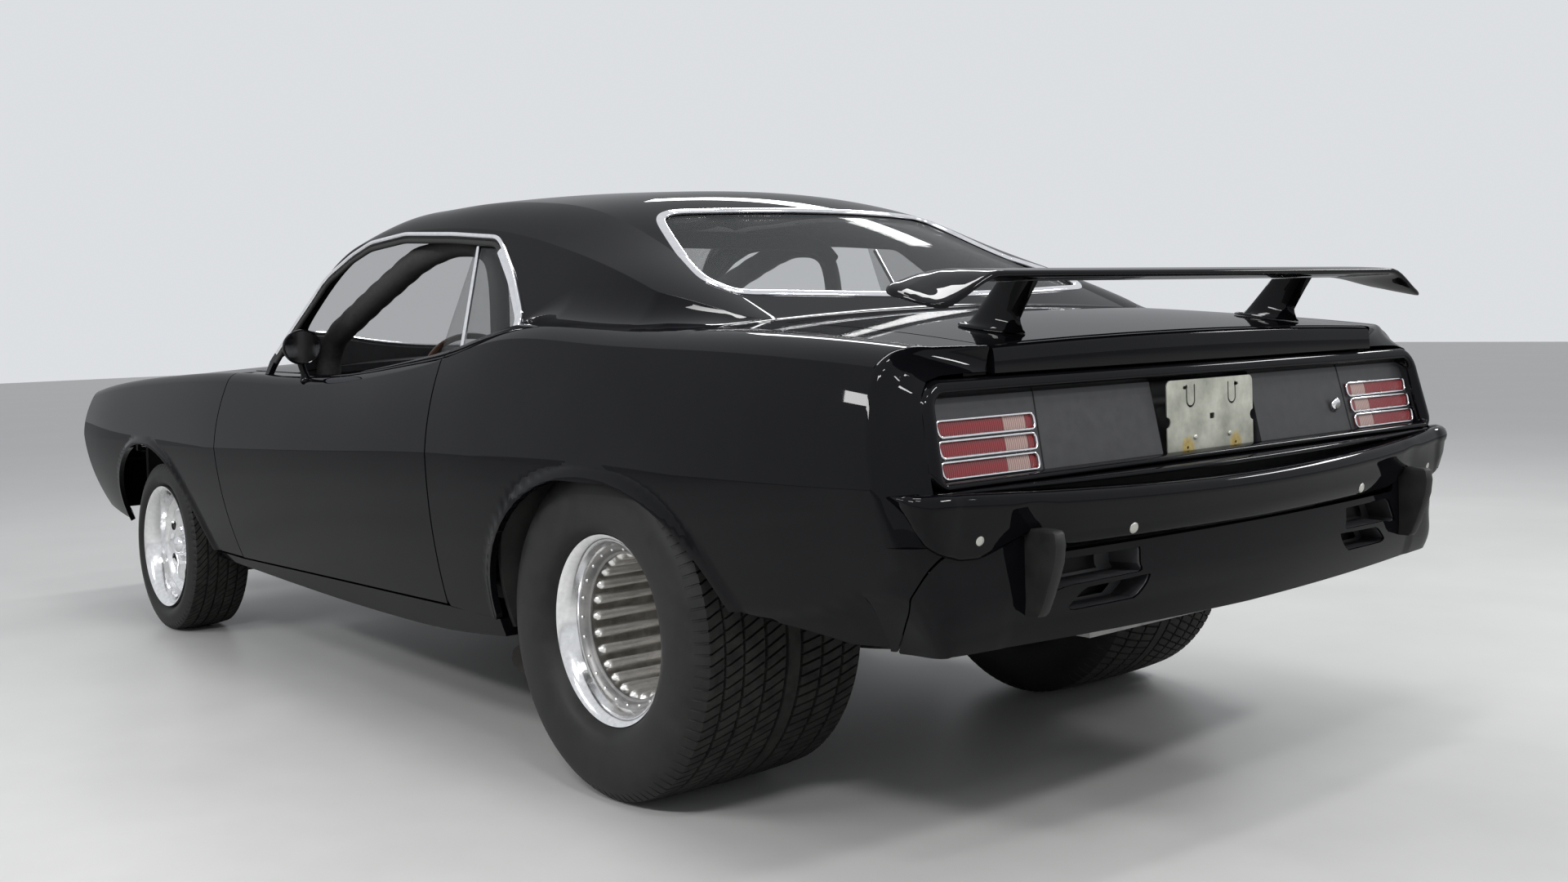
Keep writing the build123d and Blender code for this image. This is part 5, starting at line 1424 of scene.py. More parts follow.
def make_bracket():
    """The bare galvanised plate bracket with its slots, notches and rust, and the lid's plain key lock."""
    ys = np.arange(-PLATE_Y - 3, PLATE_Y + 4, 2.8)
    zs = np.arange(PLATE_LOW - 3, PLATE_HIGH + 4, 2.8)
    y, z = np.meshgrid(ys, zs, indexing="ij")
    edge = polygon_distance(rounded_rect(-PLATE_Y, PLATE_Y, PLATE_LOW, PLATE_HIGH, 13, 9), y, z)
    holes = [np.hypot(np.abs(y) - PLATE_Y, z - 806) - 11, np.maximum(np.abs(y) - 8, np.abs(z - 812) - 6)]
    for side in (-1, 1):
        slot = np.hypot(np.maximum(np.abs(y - side * PLATE_SLOT_Y) - 4.5, 0), z - 874) - 3.5
        tab = np.abs(np.hypot(np.abs(y - side * 72), np.minimum(z - 848, 0)) - 13) - 2.2
        holes += [slot, np.maximum(tab, z - 880), np.hypot(y - side * 84, z - 752) - 3.5]
    field = edge
    for hole in holes:
        field = np.maximum(field, -hole)
    bow = 1.5 * np.cos(y / PLATE_Y * 2.2)
    grid = np.stack([PLATE_X + 2.5 - bow, y, z], 2)
    plate = faced_sheet("plate_sheet", grid, np.clip(field, -CLIP, CLIP), REARWARD, 2.5, "body",
                        (RUSTED, "zinc_steel"))
    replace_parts(plate, "plate_bracket")
    for side in (-1, 1):
        dome(f"plate_rivet_{side + 1}", (PLATE_X - 0.5, side * 60, 772), (-1, 0, 0.01), 5, 2, "body", COATED)
    place = (float(tail_x(LOCK_PLACE[1])) + 19, *LOCK_PLACE)
    dome("lock_rim", place, (-1, 0, -0.22), 17, 6, "body", BRIGHT)
    dome("lock_barrel", (place[0] - 5.5, place[1], place[2] - 1), (-1, 0, -0.22), 9, 2.5, "body",
         (STEEL, "bright_trim"))


def rounded_rect(y0, y1, z0, z1, r, count=7):
    """A closed rounded rectangle in (across, height)."""
    points = []
    for cy, cz, start in ((y1 - r, z1 - r, 0), (y0 + r, z1 - r, 90), (y0 + r, z0 + r, 180),
                          (y1 - r, z0 + r, 270)):
        for a in np.radians(np.linspace(start, start + 90, count)):
            points.append((cy + r * math.cos(a), cz + r * math.sin(a)))
    return np.array(points)


def make_lamps():
    """Three bright-edged LAMP_SLOTS a side, each with a ribbed red lens and a pale inboard part."""
    for side, flip in SIDES:
        for k, (y0, y1, z0, z1) in enumerate(LAMP_SLOTS):
            outline = rounded_rect(y0, y1, z0, z1, 10)
            slant = (outline[:, 0] > (y0 + y1) / 2) * (z1 - outline[:, 1]) * 0.16
            line = np.stack([outline[:, 0] - slant, outline[:, 1]], 1)
            path = np.stack([tail_x(line[:, 1]) + 20, line[:, 0] * flip, line[:, 1]], 1)
            ring = sweep(f"lamp_ring_{side}_{k}", path, [-1.0, 0, -0.2], tube_profile(2.4),
                         "body", BRIGHT, True)
            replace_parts(ring, "tail_lamps")
            for part, s0, s1, material in LENS_PARTS:
                a = y0 + 3 + (y1 - y0 - 6) * s0
                b = y0 + 3 + (y1 - y0 - 6) * s1
                ys = np.linspace(a, b, 14)
                zs = np.linspace(z0 + 2, z1 - 2, 8)
                y, z = np.meshgrid(ys, zs, indexing="ij")
                crown = 1.5 * (1 - ((z - (z0 + z1) / 2) / ((z1 - z0) / 2)) ** 2)
                lean = (y > (y0 + y1) / 2) * (z1 - z) * 0.16
                grid = np.stack([tail_x(z) + 24 - crown, (y - lean) * flip, z], 2)
                piece = faced_sheet(f"lens_{part}_{side}_{k}", grid, -np.ones(y.shape), REARWARD, 4, "body",
                                    (material, "lamp_lens"))
                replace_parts(piece, "lamp_lenses")


def arc_x(y, arc=BUMPER_ARC):
    """A crosswise bow's place along the car."""
    return -arc[0] - arc[1] * (1 - (np.asarray(y) / ARC_HALF) ** 2)


def bumper_run():
    """The bumper's line in plan, the way inwards from it, and each point's distance from the nearer end."""
    tip = np.array(BUMPER_PLAN, float)
    ys = np.linspace(815, -815, 161)
    middle = np.stack([arc_x(ys), ys], 1)
    line = np.concatenate([tip, middle, tip[::-1] * [1, -1]])
    far = run_of(line)
    stops = np.concatenate([np.linspace(0, 190, 50), np.linspace(200, far[-1] - 200, 150),
                            np.linspace(far[-1] - 190, far[-1], 50)])
    plan = settled(along(line, stops), 8)
    tangent = np.gradient(plan, axis=0)
    tangent /= np.hypot(*tangent.T)[:, None]
    inward = np.stack([tangent[:, 1], -tangent[:, 0]], 1)
    toward = np.array([-1700.0, 0]) - plan
    inward *= np.where((inward * toward).sum(1) > 0, 1, -1)[:, None]
    return plan, inward, np.minimum(stops, far[-1] - stops)


def make_bumper():
    """The painted rear bumper: a shelf, a rounded crest, a face that leans in, and ends wrapped round."""
    plan, inward, end = bumper_run()
    across = np.abs(plan[:, 1])
    low = np.interp(end, [0, 18, 40, 62, 88, 115, 150], [727, 706, 676, 654, 637, 625, 617])
    low = np.where(end > 150, np.interp(across, [0, 560, 590, 640, 668, 690, 760, 840],
                                        [612, 616, 622, 646, 648, 636, 612, 614]), low)
    low = settled(low, 3)
    top = np.where(end < 60, np.interp(end, [0, 30, 60], [731, 734, 733]), 733)
    top = np.minimum(top, 706 + 28 * (plan[:, 1] / 860) ** 2)
    rows = []
    for p, n, z0, z1 in zip(plan, inward, low, top):
        size = min(1.0, (z1 - z0) / 92)
        row = []
        for depth, kind, value in BUMPER_SHAPE:
            if kind == "t":
                z = z1 + value * size
            elif kind == "b":
                z = z0 + value * size
            else:
                z = z0 + (z1 - 36 * size - z0) * value
            d = depth * (0.35 + 0.65 * size)
            row.append((p[0] + n[0] * d, p[1] + n[1] * d, z))
        rows.append(row)
    bar = closed_form("bumper_bar", rows, "body", GLOSS, sharp=75)
    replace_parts(bar, "rear_bumper")
    make_bumper_parts()


def make_bumper_parts():
    """The bumper's four bolts, the strip under its middle and its two guards."""
    for k, (y, z) in enumerate([(770, 646), (400, 632), (-400, 632), (-770, 646)]):
        slope = -2 * BUMPER_ARC[1] * y / ARC_HALF ** 2
        dome(f"bumper_bolt_{k}", (arc_x(y) + 14, y, z), (-1, -slope, -0.25), 11, 3.5, "body", COATED)
    strip = []
    for y in np.linspace(-560, 560, 57):
        x = float(arc_x(y)) + 34
        strip.append([(x, y, 596), (x + 8, y, 603), (x + 24, y, 604), (x + 24, y, 590), (x, y, 590)])
    closed_form("bumper_strip", strip, "body", GLOSS, sharp=40)
    for side, flip in SIDES:
        make_guard(side, flip)


def dome(name, place, out, radius, height, body, finish):
    """A low domed head such as a bolt's."""
    out = np.array(out, float)
    out /= np.linalg.norm(out)
    across = np.cross(out, [0, 0, 1.0])
    across /= np.linalg.norm(across)
    up = np.cross(across, out)
    rings = [(radius, -2), (radius, 0.5), (radius * 0.92, height * 0.45), (radius * 0.7, height * 0.8),
             (radius * 0.35, height), (0.01, height)]
    a = round_angles(24)
    rows = [[np.array(place) + across * r * math.cos(t) + up * r * math.sin(t) + out * h for t in a] for r,
            h in rings]
    return grid_piece(name, np.array(rows), body, finish, close_columns=True, sharp=60)


def make_guard(side, flip):
    """A slim black guard blade that leans forward to its foot."""
    rows = []
    for z, face, wide, soft in GUARD_LEVELS:
        half = 14 * wide
        back = -2272
        ring = [(back, -half), (face + soft, -half), (face + soft * 0.4, -half * 0.96),
                (face + 2, -half * 0.82),
                (face, -half * 0.5), (face, half * 0.5), (face + 2, half * 0.82),
                (face + soft * 0.4, half * 0.96),
                (face + soft, half), (back, half)]
        rows.append([(x, (643 + y) * flip, z) for x, y in ring])
    guard = closed_form(f"bumper_guard_{side}", rows, "body", (RUBBER, "black_plastic"), flip > 0, 45)
    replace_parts(guard, "bumper_guards")


def valance_grid():
    """The valance's surface round both corners, in level rows turned into columns."""
    levels = []
    for z in np.concatenate([np.linspace(404, 500, 28), np.linspace(504, 640, 26)]):
        p0 = skin_point(CORNER_X, max(z, 440))
        p0 = np.array([CORNER_X, p0[1] - float(tuck(CORNER_X, z)), z])
        under = tuck_under(z)
        y1 = 700.0
        x1 = arc_x(y1, VALANCE_ARC) + under
        slope = 2 * VALANCE_ARC[1] * y1 / ARC_HALF ** 2
        curve = bezier([p0, p0 + [-150, -8, 0], (x1 + slope * 150, y1 + 150, z), (x1, y1, z)],
                       np.linspace(0, 1, 36))
        swell = 13 * np.exp(-((curve[:, 0] + 2222) / 45) ** 2) * math.exp(-((z - 480) / 45) ** 2)
        curve[:, 1] += swell
        curve[:, 0] -= 0.6 * swell
        rise = np.clip((z - 545) / 90, 0, 1)
        rise = rise * rise * (3 - 2 * rise)
        fade = np.clip((curve[:, 0] + 2262) / 70, 0, 1)
        skin = np.array([skin_point(min(px, CORNER_X), max(z, 440))[1] - tuck(px, z) for px in curve[:, 0]])
        curve[:, 1] += (skin - curve[:, 1]) * rise * fade
        ys = np.linspace(y1, -y1, 101)[1:-1]
        arc = np.stack([arc_x(ys, VALANCE_ARC) + under, ys, 0 * ys + z], 1)
        levels.append(np.concatenate([curve, arc, curve[::-1] * [1, -1, 1]]))
    return np.array(levels).transpose(1, 0, 2)


def tuck_under(z):
    """How far the valance's foot turns in."""
    return 26 * np.maximum(0.0, (540 - z) / 110) ** 2


def make_valance():
    """The painted panel under the bumper, round both corners, with its wedge vents and side seams."""
    grid = valance_grid()
    x, y, z = places(grid)
    low = np.interp(y, [0, 400, 740], [438, 442, 446])
    low = np.where(x > -2240, np.interp(x, [-2240, CORNER_X], [444, 436]), low)
    base = low - z
    aft = np.where(x > SEAM_LINE[0][0], (z - np.interp(x, *zip(*SEAM_LINE))) * 0.8, -FAR_INSIDE)
    vent = np.minimum(*[polygon_distance(line, y, z) for line in VENT_HOLES])
    for name, field in (
        ("valance_skin", np.maximum(np.maximum(base, aft + 2),
                                    np.maximum(-vent, np.where(y < 590, z - 604, -FAR_INSIDE)))),
        ("corner_skin", np.maximum(base, -aft + 2)),
    ):
        piece = faced_sheet(name, grid, np.clip(field, -10, 10), REARWARD, 5, "body", GLOSS)
        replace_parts(piece, "rear_valance")
    for side, flip in SIDES:
        make_vent(side, flip)


def make_vent(side, flip):
    """One louvred vent: two wells behind its openings, their floors sloping in."""
    for k, (line, deep) in enumerate(zip(VENT_HOLES, (58, 50))):
        line = np.array(line, float)
        rows = []
        for inset, depth in ((-1, 3), (1, 6), (4, deep * 0.5), (9, deep), (26, deep + 2)):
            middle = line.mean(0)
            ring = line + (middle - line) * (inset / 60)
            x = arc_x(ring[:, 0], VALANCE_ARC) + depth + tuck_under(ring[:, 1])
            rows.append(np.stack([x, ring[:, 0] * flip, ring[:, 1]], 1))
        grid_piece(f"vent_well_{side}_{k}", np.array(rows), "body", MATT, close_columns=True,
                   flip=flip < 0, sharp=25)


# Wheels and tyres


def tread_marks(half_tread, cuts):
    """Places across a tread with whether each lies in a groove, closer together at the grooves."""
    edges = []
    for c in cuts:
        edges += [(c - 4.2, False), (c - 3.0, True), (c + 3.0, True), (c + 4.2, False)]
    last = -half_tread + 2
    spans = [(last, False)]
    for y, deep in edges:
        gap = y - last
        if gap > 14 and not deep:
            for k in range(1, int(gap / 9)):
                spans.append((last + gap * k / int(gap / 9), False))
        spans.append((y, deep))
        last = y
    gap = half_tread - 2 - last
    for k in range(1, int(gap / 9) + 1):
        spans.append((last + gap * k / int(gap / 9), False))
    return spans


def tyre(name, x, z, radius, y_in, y_out, tread, rim, pitches, cuts, plain, body, flip):
    """A tyre as one closed ring, its tread cut by rings and by slanted grooves that curve across it."""
    y_mid = (y_in + y_out) / 2
    half_tread = tread / 2
    sidewall = tyre_side(radius, y_out - y_mid, half_tread, rim)
    ring = [(-y, r, False, False) for y, r in reversed(sidewall)]
    ring += [(y, radius - TREAD_CROWN * (abs(y) / half_tread) ** 3, True, deep)
             for y, deep in tread_marks(half_tread, cuts)]
    ring += [(y, r, False, False) for y, r in sidewall]
    step = 2 * math.pi / pitches
    shares = [0.0, 0.04, 0.2, 0.24, 0.62]
    groove = [0.0, 1.0, 1.0, 0.0, 0.0]
    rows = []
    for p in range(pitches):
        for share, cut in zip(shares, groove):
            row = []
            for y, r, is_tread, deep in ring:
                lean = slant(y / half_tread) if is_tread else slant(math.copysign(1.0, y))
                a = (p + share) * step + lean * step
                depth = 0.0
                if is_tread:
                    lateral = cut * (0.0 if abs(y - plain) < 17 else 1.0) * 0.8
                    edge = max(1.0 if deep else 0.0, lateral)
                    depth = TREAD_DEPTH * edge
                elif r > radius * 0.955:
                    depth = SHOULDER_MARK * cut
                row.append((x + (r - depth) * math.cos(a), (y_mid + y) * flip,
                            z + (r - depth) * math.sin(a)))
            rows.append(row)
    points = np.array(rows)
    piece = grid_piece(name, points, body, SEAL, True, True, flip=flip > 0, sharp=38)
    piece.data.materials.append(TREAD)
    for face in piece.data.polygons:
        place = face.center / MM
        face.material_index = int(math.hypot(place.x - x, place.z - z) > radius - TREAD_DEPTH - 1 and
                                  abs(abs(place.y) - y_mid) < half_tread + 4)
    return piece


def slant(s):
    """How far the slanted grooves have run round the tyre at a share of its width, in pitches."""
    return 3.9 * (s if s > -0.15 else -0.15 + (s + 0.15) * 0.35 - 0.25 * (s + 0.15) ** 2)


def tyre_side(radius, half_width, half_tread, rim):
    """The outer sidewall's section from the shoulder down to the bead, as (from the middle, radius)."""
    rim_half, seat_r, flange_r = rim
    shoulder = radius - 7
    marks = [
        (half_tread + 3, shoulder + 1.5), (half_tread + 9, shoulder - 4), (half_width - 8, radius - 26),
        (half_width - 3, radius - 42), (half_width, flange_r + (radius - flange_r) * 0.46),
        (half_width - 2, flange_r + (radius - flange_r) * 0.30), (half_width - 8, flange_r + 14),
        (half_width - 17, flange_r + 5), (rim_half - 12, flange_r + 1.0), (rim_half - 20, seat_r + 4),
    ]
    marks = np.array(marks, float)
    far = run_of(marks)
    return [tuple(p) for p in settled(along(marks, np.linspace(0, far[-1], 14)), 2)]


def make_tyres():
    """All four tyres."""
    for side, flip in SIDES:
        for end, name, *sizes in TYRES:
            x, radius = AXLES[end]
            piece = tyre(f"{name}_tyre_{side}", x, radius, radius, *sizes, f"wheel_{end}_{side}", flip)
            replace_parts(piece, f"tyre_{end}_{side}")


def wheel_ring(name, end, side, flip, profile, finish, steps, sharp=35):
    """A part of a wheel turned about its axle, from (place across, radius) points."""
    x, z = AXLES[end]
    return turned(f"{name}_{side}", [(y * flip, r) for y, r in profile], x, z, f"wheel_{end}_{side}",
                  finish, steps,
                  sharp)


def wheel_nuts(end, side, flip, radius, y, start):
    """Five nuts round a wheel's centre."""
    x, z = AXLES[end]
    for k in range(5):
        a = 2 * math.pi * k / 5 + start
        stud(f"{end}_nut_{side}_{k}", x + radius * math.cos(a), y * flip, z + radius * math.sin(a), flip,
             f"wheel_{end}_{side}")


def make_wheels():
    """Polished wheels: the deep rear ones with a fluted drum, the front ones with small windows."""
    for side, flip in SIDES:
        body = f"wheel_rear_{side}"
        wheel_ring("rim_lip", "rear", side, flip, REAR_LIP, RIM, 192)
        wheel_ring("rim_step", "rear", side, flip, REAR_STEP, (STEEL, "polished_rim"), 192)
        # The drum and centre take the darkened alloy, whose colour is painted shade between the bars
        piece = wheel_ring("rim_drum", "rear", side, flip, REAR_DRUM, (SHADED_DRUM_ALLOY, "polished_rim"), 120, 60)
        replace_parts(piece, f"wheel_rear_{side}")
        drum_bars(side, flip, body)
        for k in range(24):
            a = 2 * math.pi * k / 24
            place = (REAR_AXLE_X + 171 * math.cos(a), 824.5 * flip, REAR_TYRE_R + 171 * math.sin(a))
            dome(f"rim_bolt_{side}_{k}", place, (0, flip, 0.001), 4.2, 3, body, RIM)
        wheel_ring("axle_cap", "rear", side, flip, REAR_CAP, BRIGHT, 48)
        wheel_nuts("rear", side, flip, 57, 599, 0.3)
        make_front_wheel(side, flip)


def stud(name, x, y, z, flip, body):
    """A wheel nut: six flats and a domed end."""
    rings = [(10, 0), (10, 14), (8.5, 18), (5, 20), (0.01, 21)]
    a = round_angles(6)
    rows = [[(x + r * math.cos(t), y + h * flip, z + r * math.sin(t)) for t in a] for r, h in rings]
    return grid_piece(name, np.array(rows), body, BRIGHT, close_columns=True, flip=flip < 0, sharp=25)


def drum_bars(side, flip, body):
    """The rear wheel's bright bars, round at both ends, that run along its drum."""
    verts = []
    faces = []
    for k in range(DRUM_BARS):
        turn = 2 * math.pi * k / DRUM_BARS
        ring_start = len(verts)
        for y, wide in BAR_STATIONS:
            for j in range(9):
                a = math.pi * j / 8
                r = DRUM_R - 20 * wide * math.sin(a) ** 0.8
                t = turn + 11.5 * wide * math.cos(a) / 150
                verts.append((REAR_AXLE_X + r * math.cos(t), y * flip, REAR_TYRE_R + r * math.sin(t)))
        for i in range(len(BAR_STATIONS) - 1):
            for j in range(8):
                a = ring_start + i * 9 + j
                face = [a, a + 1, a + 10, a + 9]
                faces.append(face if flip > 0 else face[::-1])
    return mesh_piece(f"rim_bars_{side}", np.array(verts), faces, body, (BAR_METAL, "polished_rim"), 60)


def make_front_wheel(side, flip):
    """A front wheel: a deep FRONT_LIP, a dished centre with five windows, nuts and a FRONT_CAP."""
    body = f"wheel_front_{side}"
    piece = wheel_ring("front_lip", "front", side, flip, FRONT_LIP, RIM, 160)
    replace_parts(piece, f"wheel_front_{side}")
    radii = np.concatenate([np.linspace(34, 60, 6), np.linspace(64, 150, 22), np.linspace(153, 170, 4)])
    angle = np.linspace(0, 2 * math.pi, 201)
    a, r = np.meshgrid(angle, radii, indexing="ij")
    y = 812 - 20 * np.exp(-((r - 150) / 14) ** 2) - 12 * np.clip((70 - r) / 30, 0, 1)
    y += 6 * np.cos(a * 5) * np.clip((r - 60) / 40, 0, 1) * np.clip((150 - r) / 30, 0, 1)
    grid = np.stack([FRONT_AXLE_X + r * np.cos(a), y * flip, FRONT_TYRE_R + r * np.sin(a)], 2)
    turn = (a * 5 / (2 * math.pi)) % 1 - 0.5
    window = np.hypot(turn * r * 2 * math.pi / 5, (r - 112) * 0.85) - 23
    faced_sheet(f"front_centre_{side}", grid, np.clip(-window, -8, 8), (0, flip, 0), 7, body, RIM)
    wheel_ring("front_cap", "front", side, flip, FRONT_CAP, BRIGHT, 64)
    wheel_ring("front_disc", "front", side, flip, FRONT_DISC, BARE, 96)
    wheel_nuts("front", side, flip, 52, 798, 0)


# Cabin


def cushion(name, spine, thick, width, y, channels):
    """A padded form along a line seen from the side: crowned, drawn in at its edges, with sewn channels."""
    spine = np.array(spine, float)
    far = run_of(spine)
    share = np.concatenate([np.linspace(0, 0.08, 10)[:-1], np.linspace(0.08, 0.92, 44),
                            np.linspace(0.92, 1, 10)[1:]])
    line = settled(along(spine, share * far[-1]), 6)
    tangent = np.gradient(line, axis=0)
    tangent /= np.hypot(*tangent.T)[:, None]
    up = np.stack([-tangent[:, 1], tangent[:, 0]], 1)
    s = share * 2 - 1
    end = np.clip(1 - np.abs(s) ** 14, 0, 1) ** 0.5
    size = np.interp(share, np.linspace(0, 1, len(thick)), thick)
    turn = round_angles(116)
    c = np.sign(np.cos(turn)) * np.abs(np.cos(turn)) ** 0.32
    h = np.sign(np.sin(turn)) * np.abs(np.sin(turn)) ** 0.55
    rows = []
    for k in range(len(share)):
        crown = 1 + 0.10 * (1 - c ** 2) * (1 - s[k] ** 2) * (h > 0)
        high = size[k] / 2 * h * (0.12 + 0.88 * end[k]) * crown
        wide = width / 2 * c * (0.965 + 0.035 * end[k]) * (1 - 0.012 * (1 - s[k] ** 2))
        inside = np.clip((0.80 - np.abs(c)) / 0.06, 0, 1) * np.clip((0.86 - abs(s[k])) / 0.06, 0, 1)
        inside = inside * (h > 0.4)
        stripe = np.abs((wide / width * channels * 1.3) % 1 - 0.5) * 2
        groove = np.clip((stripe - 0.72) / 0.28, 0, 1) ** 2 * CHANNEL_DEPTH * inside
        short = np.clip((0.9 - abs(s[k])) / 0.05, 0, 1)
        welt = WELT * np.exp(-((np.abs(c) - 0.84) / 0.02) ** 2) * short * (h > 0.4)
        welt = welt + WELT * np.exp(-((abs(s[k]) - 0.9) / 0.012) ** 2) * (np.abs(c) < 0.84) * (h > 0.4)
        high = high - groove - welt
        rows.append(np.stack([line[k, 0] + up[k, 0] * high, y + wide, line[k, 1] + up[k, 1] * high], 1))
    piece = closed_form(name, rows, "body", TRIM, sharp=70)
    return piece


def make_seats():
    """Two bucket seats and the rear bench with sewn channels, each cushion its own padded form."""
    for side, y in (("left", 385), ("right", -385)):
        low = cushion(f"seat_cushion_{side}", SEAT_LINE, [80, 90, 98], 450, y, 9)
        high = cushion(f"seat_back_{side}", BACK_LINE, [104, 100, 82], 444, y, 9)
        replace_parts(low, f"seat_front_{side}")
        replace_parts(high, f"seat_front_{side}")
        rows = []
        for x in np.linspace(-232, 236, 24):
            soft = 1 - 0.25 * abs(x / 236) ** 8
            section = rounded_rect(y - 205 * soft, y + 205 * soft, 322, 346 + 0.02 * x, 9)
            rows.append([(x, a, b) for a, b in section])
        closed_form(f"seat_pan_{side}", rows, "body", (PLASTIC, "black_vinyl"))
        for k in (-1, 1):
            rail = [[(x, y + k * 190 + a, b) for a,
                     b in rounded_rect(-14, 14, 286, 324, 5)] for x in (-225, 0, 225)]
            closed_form(f"seat_rail_{side}_{k + 1}", rail, "body", BARE)
    low = cushion("bench_cushion", [(-862, 378), (-700, 385), (-553, 392)], [62, 78, 86], 1010, 0, 21)
    high = cushion("bench_back", [(-812, 420), (-846, 600), (-916, 940)], [78, 62, 36], 1010, 0, 21)
    for piece in (low, high):
        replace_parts(piece, "seat_rear")


def make_door_cards():
    """Each door's inner trim: a grained panel with an armrest, a pull and sewn lines."""
    xs = np.linspace(-560, 352, 74)
    zs = np.linspace(372, 872, 56)
    x, z = np.meshgrid(xs, zs, indexing="ij")
    arm = np.exp(-np.clip(np.abs(x + 60) - 230, 0, None) ** 2 / 900) * np.exp(-((z - 640) / 34) ** 4)
    hollow = np.exp(-np.clip(np.abs(x + 60) - 90, 0, None) ** 2 / 300) * np.exp(-((z - 668) / 16) ** 4)
    lines = np.exp(-((z - 560) / 2.5) ** 2) + np.exp(-((z - 760) / 2.5) ** 2)
    roll = 3 * np.sin((z - 760) / 110 * math.pi).clip(0) * (z > 760)
    pad = 7 + 42 * arm - 14 * hollow - 2.5 * lines + roll
    edge = polygon_distance(rounded_rect(-556, 348, 376, 868, 40), x, z)
    pad = pad * np.clip(-edge / 14, 0, 1) ** 0.5
    for side, flip in SIDES:
        grid = np.stack([x, flip * (DOOR_INNER_Y - 1 - pad), z], 2)
        inner = (0, -flip, 0)
        faced_sheet(f"door_card_{side}", grid, np.clip(edge, -10, 10), inner, 2, f"door_{side}", TRIM)
        dome(f"door_handle_{side}", (190, flip * 776, 745), (0, -flip, 0.001), 20, 12, f"door_{side}",
             BRIGHT)
        dome(f"window_crank_{side}", (60, flip * 776, 600), (0, -flip, 0.001), 17, 18, f"door_{side}",
             BRIGHT)


def make_dash():
    """The padded dashboard with a hood over four dials, a trim strip and round vents."""
    side = smooth_outline([(653, 742), (653, 866), (470, 890), (374, 872), (362, 800), (420, 716),
                           (520, 692)], 9, 9.0)
    rows = []
    for y in np.linspace(-756, 756, 73):
        end = 1 - 0.05 * max(0.0, (abs(y) - 742) / 14) ** 2
        hood = 20 * math.exp(-((y - 385) / 165) ** 4)
        row = []
        for x, z in side:
            lift = hood * np.clip((z - 850) / 30, 0, 1) * np.clip((560 - x) / 90, 0, 1)
            row.append((x - 0.6 * lift * (x < 420), y, 790 + (z + 0.7 * lift - 790) * end))
        rows.append(row)
    pad = closed_form("dash_pad", rows, "body", MOULDED, sharp=50)
    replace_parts(pad, "dashboard")
    for k, (y, r) in enumerate([(290, 26), (348, 44), (446, 44), (510, 26)]):
        dome(f"dial_ring_{k}", (361.5, y, 824), (-1, 0, -0.10), r, 4, "body", BRIGHT)
        dome(f"dial_face_{k}", (358.4, y, 823.6), (-1, 0, -0.10), r - 5, 1.5, "body", DARK)
    for k, y in enumerate((-640, -120, 140, 660)):
        dome(f"dash_vent_{k}", (362, y, 822), (-1, 0, -0.10), 24, 6, "body", DARK)
    path = np.array([(366.5, y, 848) for y in np.linspace(-720, 220, 30)])
    sweep("dash_strip", path, [-1.0, 0, 0.1], round_profile(6, 3), "body", BRIGHT)


def make_steering():
    """The steering wheel's thin rim, three steel spokes and hub, and its column."""
    middle = np.array(STEER_CENTRE)
    out = np.array(STEER_AXIS)
    out /= np.linalg.norm(out)
    across = np.array([0, 1.0, 0])
    high = np.cross(across, out) * -1
    high = high if high[2] > 0 else -high
    turn = round_angles(120)[:, None]
    rim = middle + STEER_R * (across * np.cos(turn) + high * np.sin(turn))
    piece = sweep("steering_rim", rim, out, tube_profile(STEER_RIM_R, 14), "body",
                  (RIM_GRIP, "black_plastic"),
                  True)
    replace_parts(piece, "steering_wheel")
    for k, a in enumerate(np.radians([0, 180, 270])):
        way = across * math.cos(a) + high * math.sin(a)
        t = np.linspace(0, 1, 14)[:, None]
        path = middle + way * (24 + 164 * t) + out * (-10 * (1 - t) ** 2 - 2)
        wide = np.interp(t[:, 0], [0, 0.5, 1], [1.3, 0.85, 1.0])
        sweep(f"steering_spoke_{k}", path, out, SPOKE, "body", (STEEL, "black_plastic"), scale=wide)
    dome("steering_hub", middle - out * 10, out, 38, 20, "body", MOULDED)
    path = np.array([middle - out * d for d in np.linspace(8, 600, 12)])
    wide = np.interp(np.arange(12), [0, 1, 3, 11], [0.8, 1.3, 1.0, 1.0])
    sweep("steering_column", path, [0, 1.0, 0], tube_profile(24, 20), "body", MOULDED, scale=wide)


def make_cage():
    """The padded bars inside the roof: a hoop behind the seats and a bar down each windshield pillar."""
    for side, flip in SIDES:
        path = soft_line(PILLAR_BAR, 150, 14) * [1, flip, 1]
        rad = 26 + 11 * np.clip((path[:, 0] + 200) / 200, 0, 1)
        rings = 1 + 0.03 * np.sin(np.arange(len(path)) * 0.9) * (path[:, 0] > -150)
        piece = sweep(f"padded_bar_{side}", path, [0, float(flip), 0.001], tube_profile(1, 24),
                      "body", PADDING, scale=rad * rings)
    path = soft_line(ROOF_HOOP, 120, 8)
    sweep("hoop_top", path, [-1.0, 0, 0.001], tube_profile(26, 24), "body", PADDING)


def soft_line(marks, count, rounds):
    """A line through marks in space with its corners eased."""
    marks = np.array(marks, float)
    return settled(along(marks, np.linspace(0, run_of(marks)[-1], count)), rounds)


def mirror_rings(section, flip):
    """Rings of a mirror's head from places along the car and radii."""
    wide, high = MIRROR_OVAL
    turn = round_angles(72)
    return [[(x, flip * (MIRROR_Y + r * wide * math.cos(t)),
              MIRROR_Z + r * high * math.sin(t)) for t in turn]
            for x, r in section]


